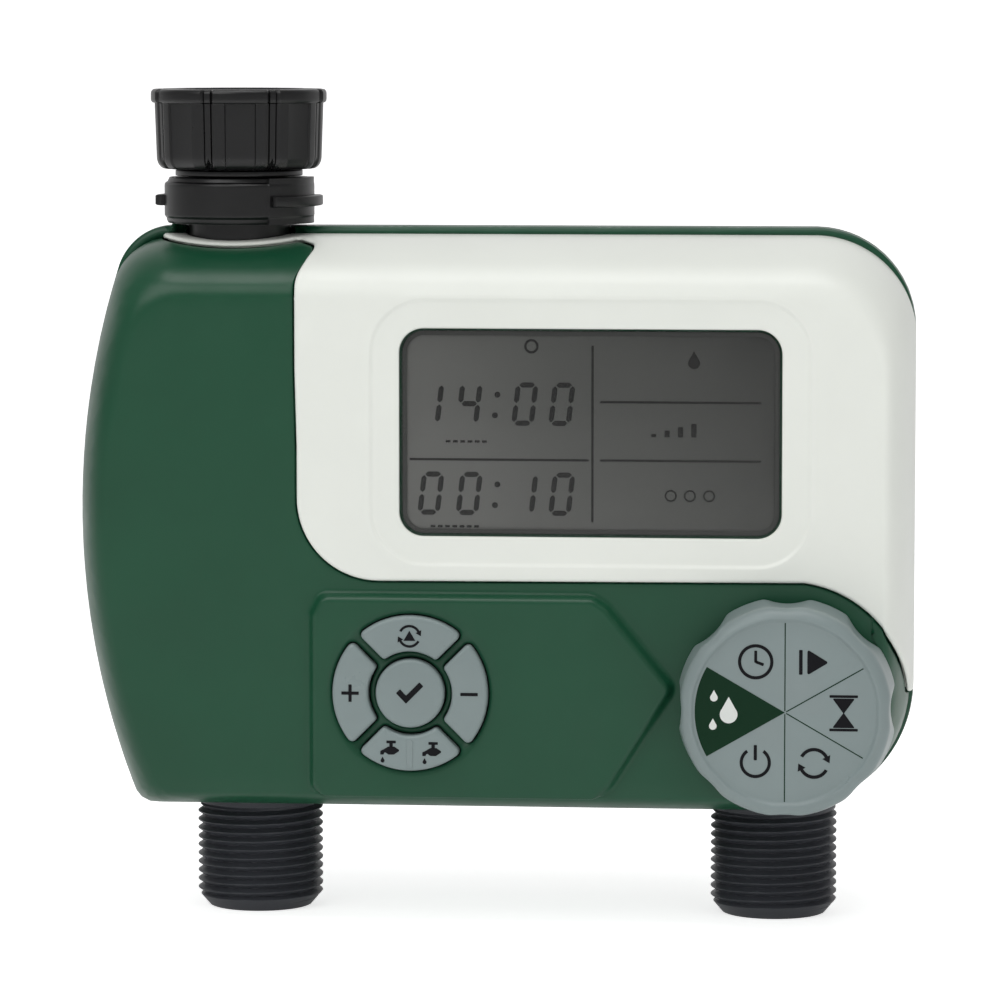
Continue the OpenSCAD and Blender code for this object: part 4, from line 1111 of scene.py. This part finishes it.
def inlet_filter():
    """Conical strainer cup: woven wall as a real grid, moulded rim, base and four ribs."""
    verts = []
    around, down = 72, 26
    for i in range(down + 1):
        z = -2.8 - 11.0 * i / down
        r = 7.2 - 1.05 * i / down
        verts += [(r * math.cos(a), r * math.sin(a), z) for a in even(around)]
    mesh = new_object("strainer", verts, quads(down + 1, around), NATURAL, 180)
    wire = mesh.modifiers.new("mesh", "WIREFRAME")
    wire.thickness = 0.16 * MM
    wire.use_even_offset = False
    bpy.context.view_layer.objects.active = mesh
    bpy.ops.object.modifier_apply(modifier="mesh")
    rim = rounded([[5.4, -2], [8.95, -2], [8.95, -2.8], [7.3, -2.9], [7.1, -3.4], [6.6, -3.4], [5.4, -2.6]],
                  0.15, 0.1)
    base = rounded([[0.02, -14], [6.2, -14], [6.35, -13.2], [5.9, -13.2], [5.6, -13.5], [0.02, -13.5]],
                   [0, 0.15, 0.15, 0.1, 0.1, 0], 0.1)
    parts = [mesh, lathe("rim", rim, 96, NATURAL), lathe("base", base, 96, NATURAL)]
    for t in even(4) + math.pi / 4:
        verts = [(r * math.cos(t) - w * math.sin(t), r * math.sin(t) + w * math.cos(t), z)
                 for w in (-0.35, 0.35)
                 for r, z in ((7.25, -3.0), (6.2, -13.9), (5.85, -13.9), (6.9, -3.0))]
        parts.append(capped("rib", verts, 4, NATURAL, 30))
    finish_piece(joined("inlet_strainer", parts), "case", "filter_mesh", "inlet_filter")


def washer():
    """Flat sealing washer with round edges."""
    low, high = box_mm("inlet_washer")
    rows = rounded([[7.6, low[2]], [high[0], low[2]], [high[0], high[2]], [7.6, high[2]]], 0.45, 0.1)
    obj = lathe("inlet_gasket", rows, 96, RUBBER, angle=60)
    finish_piece(obj, "case", "seal_rubber", "inlet_washer")


# ---- Keys ----

KEY_FACE = KEY_LOW[1]
KEY_BACK = KEY_FACE + 2.8
STEM_END = KEY_HIGH[1]
KEY_STEM_AT = {"cycle": [(0, 12.4)], "plus": [(-12.4, 0)], "minus": [(12.4, 0)], "confirm": [(0, 0)],
               "valves": [(-6.4, -11.4), (6.4, -11.4)]}


def key(name, legends):
    """One key with its stems and, as a second piece, its printed marks."""
    parts = [fill("key_" + name, [KEY_LOOPS[name]], KEY_FACE, KEY_BACK - KEY_FACE, GREY, edge=0.8)]
    stem_r = 1.6 if name == "valves" else 2.2
    for dx, dz in KEY_STEM_AT[name]:
        parts.append(fill("stem", [circle(KEY_X + dx, KEY_Z + dz, stem_r, 32)], KEY_BACK - 0.2,
                          STEM_END - KEY_BACK + 0.2, GREY))
    if name == "valves":
        ridge = bar(KEY_X, KEY_Z - 9.6, KEY_X, KEY_Z - 15.4, 1.3, 0.4)
        parts.append(fill("ridge", [ridge], KEY_FACE - 0.14, 0.5, GREY, edge=0.1))
    finish_piece(joined("key_" + name + "_cap", parts), "key_" + name, "grey_plastic", "key_" + name)
    marks = [fill("mark", [loop], KEY_FACE - 0.05, PRINT_T, INK) for loop in legends]
    finish_piece(joined("key_" + name + "_legend", marks), "key_" + name, "switch_plastic")


def shifted(loop, x, z, turn=0.0, scale=1.0):
    """The loop scaled, turned by degrees and moved to x, z."""
    c, s = math.cos(math.radians(turn)) * scale, math.sin(math.radians(turn)) * scale
    p = np.asarray(loop, float)
    return np.stack([x + p[:, 0] * c - p[:, 1] * s, z + p[:, 0] * s + p[:, 1] * c], axis=1)


def bar(x0, z0, x1, z1, w, r=0.12):
    """A straight stroke of width w between two points."""
    d = np.array([x1 - x0, z1 - z0])
    d = d / np.linalg.norm(d)
    n = np.array([-d[1], d[0]]) * w / 2
    p, q = np.array([x0, z0]), np.array([x1, z1])
    return rounded([p - n, q - n, q + n, p + n], r, 0.1)


def band(r_in, r_out, a0, a1, n=24):
    """A piece of a ring."""
    return np.concatenate([arc(0, 0, r_out, a0, a1, n), arc(0, 0, r_in, a1, a0, n)])


def arrow_head(r, a, size):
    """A triangle at angle a on a ring, pointing clockwise."""
    t = math.radians(a)
    out, along = np.array([math.cos(t), math.sin(t)]), np.array([math.sin(t), -math.cos(t)])
    c = r * out
    return np.array([c + out * size * 0.62, c + along * size, c - out * size * 0.62])


def drop(size):
    """A water drop, point up."""
    a = np.radians(np.linspace(-220, 40, 27))
    body = np.stack([0.62 * np.cos(a), 0.62 * np.sin(a) - 0.25], axis=1)
    return np.concatenate([body, [[0, 1.0]]]) * size


def tap_icon():
    """A garden tap with a drop under its spout."""
    body = rounded([[-1.97, -0.65], [-1.3, -0.65], [-1.05, -0.1], [-0.3, -0.63], [0.85, -0.63], [1.92, 0.1],
                    [1.92, 0.36], [0.95, 1.02], [-0.3, 1.02], [-1.3, 0.42], [-1.97, 0.1]],
                   [0.08, 0.08, 0.2, 0.3, 0.3, 0.1, 0.1, 0.3, 0.3, 0.2, 0.25], 0.12)
    return [bar(-0.7, 1.98, 1.25, 1.98, 0.56), bar(0.27, 1.75, 0.27, 0.9, 0.7), body,
            shifted(drop(0.66), -1.5, -1.75)]


def cycle_icon(size):
    """Two arrows chasing each other clockwise."""
    gap = 28
    out = []
    for start in (0, 180):
        out.append(band(0.86 * size, 1.1 * size, start + gap, start + 180 - gap))
        out.append(arrow_head(0.98 * size, start + gap, 0.5 * size))
    return out


def keypad():
    """All five keys, each with a mark of its own."""
    tri = np.array([[-1.25, -0.95], [1.25, -0.95], [0, 1.15]])
    plus = rounded([[-0.33, -1.8], [0.33, -1.8], [0.33, -0.33], [1.8, -0.33], [1.8, 0.33], [0.33, 0.33],
                    [0.33, 1.8], [-0.33, 1.8], [-0.33, 0.33], [-1.8, 0.33], [-1.8, -0.33], [-0.33, -0.33]],
                   0.06, 0.05)
    tick = rounded([[-2.5, 0.1], [-1.75, 0.85], [-0.65, -0.35], [1.85, 2.15], [2.55, 1.4], [-0.65, -1.85]],
                   0.15, 0.1)

    def at(dx, dz, loops, scale=1.0):
        return [shifted(loop, KEY_X + dx, KEY_Z + dz, 0, scale) for loop in loops]

    key("cycle", at(0, 11.9, cycle_icon(2.15) + [tri]))
    key("plus", at(-12.3, 0, [plus]))
    key("minus", at(12.3, 0, [bar(-1.8, 0, 1.8, 0, 0.66)]))
    key("confirm", at(0, 0, [tick], 1.12))
    key("valves", at(-4.1, -12.0, tap_icon()) + at(4.6, -12.2, tap_icon()))


# ---- Dial ----

DIAL_R = 22.6
DIAL_RIM = 0.7


def dial_piece():
    """Fluted selector knob: a raised rim round a sunk face, hollow at the back."""
    back, face = -DIAL_HIGH[1], -DIAL_LOW[1]
    scoops, scoop_at, scoop_r = 8, DIAL_R + 10.6, 12.0
    slope = 1.3 / (face - back)

    def edge(z, th):
        """Outside radius with its scoops and softened crests."""
        plain = DIAL_R - slope * (z - back)
        d = (th + TAU / scoops / 2) % (TAU / scoops) - TAU / scoops / 2
        scoop = scoop_at * np.cos(d) - np.sqrt(np.clip(scoop_r ** 2 - (scoop_at * np.sin(d)) ** 2, 0, None))
        k = 0.2
        return -k * np.log(np.exp(-(plain - 20) / k) + np.exp(-(scoop - 20) / k)) + 20

    bevel, floor = face - 2.5, face - DIAL_RIM
    rows = [(DIAL_R, back), (DIAL_R, back + 0.25), (DIAL_R, back + 0.6)]
    rows += [(DIAL_R, z) for z in np.linspace(back + 1.5, bevel - 0.8, 8)]
    rim = ((0, 2.8), (0.04, 2.2), (0.18, 1.65), (0.45, 1.15), (0.85, 0.72), (1.3, 0.38), (1.7, 0.14),
           (2.05, 0.02), (2.35, 0.03), (2.65, 0.16), (2.95, 0.36), (3.3, 0.55), (3.65, 0.66))
    rows += [(DIAL_R - inset, face - sunk) for inset, sunk in rim]
    rows += [(r, floor) for r in (18.5, 17.5, 15.0, 11.0, 6.0, 0.02)]
    outer_n = len(rows)
    rows += [(0.02, face - 2.6), (2.98, face - 2.6), (2.98, back + 0.2), (6.0, back), (6.0, face - 2.2),
             (18.6, face - 2.4), (18.8, face - 3.0), (18.8, back)]

    def warp(r, z, th):
        row = np.arange(len(r))[:, None]
        pull = ease((r - 17.0) / 4.0) * (row < outer_n)
        rr = r * (1 + pull * (edge(z, th) / DIAL_R - 1))
        first = np.clip((back + 0.6 - z) / 0.6, 0, 1) * (row < 3)
        return rr - 0.5 * quarter(first), z

    obj = lathe("dial_knob", rows, 360, GREY, warp, "Y", (DIAL_X, 0, DIAL_Z), angle=50)
    finish_piece(obj, "dial", "grey_plastic", "dial")
    dial_print(DIAL_LOW[1] + DIAL_RIM)


def dial_print(y_face):
    """Six sectors: thin lines, one filled sector and a pictogram in each."""
    r_print, r_icon, icon_scale = 18.3, 11.9, 1.2

    def ink(name, loops, material, level=0.04):
        marks = [fill("mark", outlines, y_face - level, PRINT_T, material) for outlines in loops]
        finish_piece(joined(name, marks), "dial", "switch_plastic")

    lines = [[shifted(bar(0.3, 0, r_print, 0, 0.22, 0.02), DIAL_X, DIAL_Z, a)] for a in (30, 90, 270, 330)]
    sector = np.concatenate([[[0.0, 0.0]], arc(0, 0, r_print, 150, 210, 40)])
    ink("dial_lines", lines + [[shifted(sector, DIAL_X, DIAL_Z)]], DIAL_INK)
    clock = [[circle(0, 0, 3.0, 64), circle(0, 0, 2.45, 64)], [bar(0, -0.15, 0, 1.9, 0.5)],
             [bar(0, 0, 1.35, -0.5, 0.5)]]
    start = [[rounded([[-1.2, -2.2], [2.4, 0], [-1.2, 2.2]], 0.25, 0.1)], [bar(-2.3, -2.1, -2.3, 2.1, 0.6)]]
    glass = [[rounded([[-1.9, 2.5], [0, -0.1], [1.9, 2.5]][::-1], 0.12, 0.1)],
             [rounded([[-1.9, -2.5], [1.9, -2.5], [0, 0.1]], 0.12, 0.1)],
             [bar(-2.4, 2.85, 2.4, 2.85, 0.45)], [bar(-2.4, -2.85, 2.4, -2.85, 0.45)]]
    again = [[loop] for loop in cycle_icon(2.4)]
    power = [[band(2.1, 2.65, -235, 55, 40)], [bar(0, 0.4, 0, 3.0, 0.55)]]
    marks = []
    for a, icon in ((120, clock), (60, start), (0, glass), (-60, again), (-120, power)):
        x = DIAL_X + r_icon * math.cos(math.radians(a))
        z = DIAL_Z + r_icon * math.sin(math.radians(a))
        marks += [[shifted(loop, x, z, 0, icon_scale) for loop in loops] for loops in icon]
    ink("dial_pictograms", marks, INK)
    rain = [[shifted(drop(size), DIAL_X + dx, DIAL_Z + dz)] for size, dx, dz in
            ((2.9, -11.4, 0.2), (1.25, -14.6, -2.6), (1.25, -14.4, 3.2))]
    ink("dial_drops", rain, WHITE_INK, 0.07)


# ---- Display ----

def seven_segment(ch, x, z, w, h):
    """Slanted segments of one digit; x, z is its lower left corner, t their width, g their gap."""
    on = {"0": "abcdef", "1": "bc", "4": "bcfg"}[ch]
    t, g = 0.3 * w, 0.05 * w
    lean = 0.12

    def flat(x0, z0):
        """A level segment."""
        near, far, half = x0 + g, x0 + w - g, t / 2
        return [[near + half, z0 - half], [far - half, z0 - half], [far, z0],
                [far - half, z0 + half], [near + half, z0 + half], [near, z0]]

    def tall(x0, z0):
        """An upright segment, half the digit high."""
        near, far, half = z0 + g, z0 + h / 2 - g, t / 2
        return [[x0, near], [x0 + half, near + half], [x0 + half, far - half], [x0, far],
                [x0 - half, far - half], [x0 - half, near + half]]

    shapes = {"a": flat(0, h), "g": flat(0, h / 2), "d": flat(0, 0), "f": tall(0, h / 2), "b": tall(w, h / 2),
              "e": tall(0, 0), "c": tall(w, 0)}
    out = []
    for name in on:
        p = np.array(shapes[name])
        p[:, 0] += p[:, 1] * lean
        out.append(p + [x, z])
    return out


def display():
    """The display's segments, lines and symbols, and the clear window in front of them."""

    def at(fx, fz):
        """A point given as shares of the window's width and height, from its top left corner."""
        return WINDOW_X + (fx - 0.5) * WINDOW_W, WINDOW_Z + (0.5 - fz) * WINDOW_H

    marks = []
    dw, dh = 0.0457 * WINDOW_W, 0.184 * WINDOW_H
    for text, fz in (("14:00", 0.455), ("00:10", 0.888)):
        for ch, fx in zip(text, (0.052, 0.153, 0.247, 0.299, 0.396)):
            x, z = at(fx, fz)
            if ch == ":":
                marks += [[circle(x + 0.12 * k * dh, z + k * dh, 0.62, 20)] for k in (0.2, 0.74)]
            else:
                marks += [[loop] for loop in seven_segment(ch, x, z, dw, dh)]
    for a, b in (((0.505, 0.08), (0.505, 0.93)), ((0.025, 0.632), (0.495, 0.632)),
                 ((0.525, 0.351), (0.945, 0.351)), ((0.525, 0.632), (0.945, 0.632))):
        (x0, z0), (x1, z1) = at(*a), at(*b)
        marks.append([bar(x0, z0, x1, z1, 0.5, 0.02)])
    x, z = at(0.345, 0.085)
    marks.append([circle(x, z, 1.5, 30), circle(x, z, 1.0, 30)])
    x, z = at(0.77, 0.15)
    marks.append([shifted(drop(2.0), x, z)])
    for k in range(4):
        x, z = at(0.665 + 0.035 * k, 0.49)
        marks.append([bar(x, z - 1.2, x, z - 1.2 + 0.7 * (k + 1), 1.1, 0.05)])
    for k in range(3):
        x, z = at(0.71 + 0.05 * k, 0.80)
        marks.append([circle(x, z, r, 30) for r in (1.26, 0.882)])
    for fx, fz, dashes in ((0.12, 0.545, 6), (0.08, 0.955, 7)):
        x, z = at(fx, fz)
        marks += [[bar(x + k * 1.5, z, x + k * 1.5 + 1.0, z, 0.5, 0.05)] for k in range(dashes)]
    parts = [fill("segment", loops, DISPLAY_LOW[1] - 0.05, 0.12, SEGMENT) for loops in marks]
    finish_piece(joined("display_segments", parts), "case", "lcd")
    pane = box_outline(LENS_LOW, LENS_HIGH, 0, WINDOW_R - LENS_SLACK)
    border = fill("window_border", offsets(pane, [0.35, 1.25]), LENS_HIGH[1] - 0.08, 0.06, BORDER)
    finish_piece(border, "case", "lcd")
    obj = fill("display_window", [pane], LENS_LOW[1], LENS_HIGH[1] - LENS_LOW[1], LENS, edge=0.3)
    finish_piece(obj, "case", "window_glass", "display_lens")


# ---- Inner parts ----

def tube(name, points, r, material, sides):
    """A round bar swept along points, in millimetres."""
    p = np.asarray(points, float)
    t = np.gradient(p, axis=0)
    t /= np.linalg.norm(t, axis=1)[:, None]
    side = np.cross(t[0], [0.3, 0.2, 1.0])
    side /= np.linalg.norm(side)
    verts = []
    for i in range(len(p)):
        side = side - t[i] * (side @ t[i])
        side /= np.linalg.norm(side)
        up = np.cross(t[i], side)
        verts += [p[i] + r * (math.cos(a) * side + math.sin(a) * up) for a in even(sides)]
    return capped(name, verts, sides, material, 60)


def smooth_path(points, n):
    """A smooth curve through given points."""
    p = np.asarray(points, float)
    p = np.concatenate([[2 * p[0] - p[1]], p, [2 * p[-1] - p[-2]]])
    out = []
    for i in range(1, len(p) - 2):
        t = np.linspace(0, 1, n, endpoint=False)[:, None]
        a, b, c, d = p[i - 1:i + 3]
        out.append(0.5 * (2 * b + (c - a) * t + (2 * a - 5 * b + 4 * c - d) * t ** 2
                          + (3 * b - a - 3 * c + d) * t ** 3))
    out.append(p[-2:-1])
    return np.concatenate(out)


def helix(node, r, turns, per_turn, y0, y1):
    """Points of a helix round a CAD node's middle, along Y from y0 to y1."""
    cx, _, cz = middle(node)
    t = np.linspace(0, 1, turns * per_turn + 1)
    a = t * turns * TAU
    return np.stack([cx + r * np.cos(a), y0 + (y1 - y0) * t, cz + r * np.sin(a)], axis=1)


def spring(side):
    """Return spring of a plunger, built as a fixed coil; the real one shortens as the plunger lifts."""
    node, wire = "plunger_spring_" + side, 0.2
    low, high = box_mm(node)
    path = helix(node, 1.95, 5, 32, low[1] + wire, high[1] - wire)
    obj = tube("return_spring_" + side, path, wire, STEEL, 8)
    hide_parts(node)
    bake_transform(obj)


def coil(side):
    """Solenoid: a moulded spool with a layer of wire on it."""
    node, turns, flange = "coil_" + side, 14, 1.0
    low, high = box_mm(node)
    y0, y1, big = low[1], high[1], (high[0] - low[0]) / 2
    spool = rounded([[4.95, y0], [big, y0], [big, y0 + flange], [8.4, y0 + flange], [8.4, y1 - flange],
                     [big, y1 - flange], [big, y1], [4.95, y1]], 0.2, 0.12)
    cx, _, cz = middle(node)
    body = lathe("spool", [(r, -z) for r, z in spool], 72, NYLON, axis="Y", centre=(cx, 0, cz))
    w = (y1 - y0 - 2 * flange) / (turns + 1) / 2
    path = helix(node, 8.95, turns, 40, y0 + flange + w, y1 - flange - w)
    winding = tube("winding", path, w, WIRE, 8)
    finish_piece(joined("solenoid_" + side, [body, winding]), "case", "winding", node)


def leads():
    """Pairs of wires from the coils and from the battery bay to the board."""
    left = [[14.5, 18, -112], [18, 18, -108], [25, 15, -103], [31, 6, -100], [34, -4, -100],
            [35, -10, -100], [35, -13.1, -100]]
    right = [[102.3, 18, -112], [98, 18, -108], [91, 15, -103], [85, 6, -100], [82, -4, -100],
             [81, -10, -100], [81, -13.1, -100]]
    battery = [[60, -0.1, -50], [60, -3, -50], [59, -6, -51], [57, -9, -53], [56, -11, -54], [56, -13.1, -54]]

    def pair(name, routes, node):
        parts = [tube("wire", smooth_path(route, 8) + [0, 0, apart], 0.5, LEAD, 10)
                 for route in routes for apart in (-0.55, 0.55)]
        finish_piece(joined(name, parts), "case", "lead_insulation", node)

    pair("solenoid_leads", [left, right], "coil_leads")
    pair("battery_leads", [battery], "battery_lead")


def camera_and_light():
    """A camera slightly above and to the right of the middle, and three soft lamps."""
    scene = bpy.context.scene
    turn, pitch, distance = math.radians(5.32), math.radians(5.31), 1109.6
    pivot_x, eye_z = 55.1, 27.9
    aim = Vector((54, 0, -80)) * MM
    cam = bpy.data.objects.new("camera", bpy.data.cameras.new("camera"))
    scene.collection.objects.link(cam)
    cam.location = Vector((pivot_x + distance * math.sin(turn), -distance * math.cos(turn), eye_z)) * MM
    cam.rotation_euler = (math.pi / 2 - pitch, 0, turn)
    cam.data.lens = 190.7
    cam.data.sensor_width = 36
    cam.data.clip_start, cam.data.clip_end = 0.01, 50
    scene.camera = cam
    scene.view_settings.view_transform = "Standard"

    def soft_lamp(name, at, size, power):
        lamp = bpy.data.lights.new(name, "AREA")
        lamp.shape = "RECTANGLE"
        lamp.size, lamp.size_y = size
        lamp.energy = power
        obj = bpy.data.objects.new(name, lamp)
        scene.collection.objects.link(obj)
        obj.location = Vector(at) * MM
        obj.rotation_euler = (aim - obj.location).to_track_quat("-Z", "Y").to_euler()
        return obj

    soft_lamp("key", (-450, -900, 750), (0.9, 0.7), 4.1)
    soft_lamp("fill", (800, -900, 250), (0.8, 0.9), 1.7).visible_glossy = False
    soft_lamp("top", (40, -260, 1000), (0.9, 0.5), 4.1)
    world = bpy.data.worlds.new("studio")
    world.use_nodes = True
    world.node_tree.nodes["Background"].inputs["Color"].default_value = (1, 1, 1, 1)
    nodes, links = world.node_tree.nodes, world.node_tree.links
    seen = nodes.new("ShaderNodeLightPath").outputs["Is Camera Ray"]
    level = nodes.new("ShaderNodeMapRange")
    level.inputs["To Min"].default_value, level.inputs["To Max"].default_value = 0.3, 1.0
    links.new(seen, level.inputs["Value"])
    links.new(level.outputs["Result"], nodes["Background"].inputs["Strength"])
    scene.world = world


def floor():
    """A pale sweep: flat under the part, curving up far behind it."""
    ground = box_mm("outlet_left")[0][2]
    radius, reach, half, across = 900.0, 900.0, 4200.0, 9
    a = np.radians(np.linspace(0, 90, 25))
    profile = [(-2200.0, ground)]
    profile += [(reach + radius * math.sin(t), ground + radius * (1 - math.cos(t))) for t in a]
    profile.append((reach + radius, ground + radius + 1600))
    verts = [(x, y, z) for y, z in profile for x in np.linspace(-half, half, across)]
    faces = [(i + k, i + k + 1, i + across + k + 1, i + across + k)
             for i in range(0, across * (len(profile) - 1), across) for k in range(across - 1)]
    new_object("studio_sweep", verts, faces, FLOOR, 180)


CAD_LOOKS = (
    (NYLON, ("manifold", "valve_body_left", "valve_body_right", "bonnet_left", "bonnet_right",
             "battery_tray")),
    (RUBBER, ("diaphragm_left", "diaphragm_right", "case_seal", "dial_seal", "door_gasket")),
    (STEEL, ("bonnet_screws", "plunger_left", "plunger_right", "case_screws", "board_screws",
             "dial_spindle", "battery_contacts")),
    (BRASS, ("bay_terminals",)),
    (NATURAL, ("display_frame", "lead_connectors")),
    (SWITCH, ("tact_switches", "rotary_switch")),
    (SILICONE, ("keypad_mat",)),
    (BOARD, ("circuit_board",)),
    (LCD, ("display_glass",)),
    (CELL, ("battery_cells",)),
)


def dress_cad():
    """Gives the CAD nodes that stay visible their materials."""
    for material, nodes in CAD_LOOKS:
        for node in nodes:
            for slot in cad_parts[node].material_slots:
                slot.material = material


camera_and_light()
floor()
front_shell()
fascia()
rear_shell()
battery_door()
nut_piece()
collar_piece()
tailpiece()
for side in ("left", "right"):
    outlet_piece(side)
inlet_filter()
washer()
seal_ring("neck_oring", "tailpiece_seal", [0], -29.1, 9.28, 0.5)
seal_ring("manifold_orings", "manifold_seals", OUTLET_X, -94.1, 7.45, 0.61)
seal_ring("outlet_orings", "outlet_seals", OUTLET_X, -130.5, 8.5, 0.56)
keypad()
dial_piece()
display()
for side in ("left", "right"):
    spring(side)
    coil(side)
leads()
dress_cad()
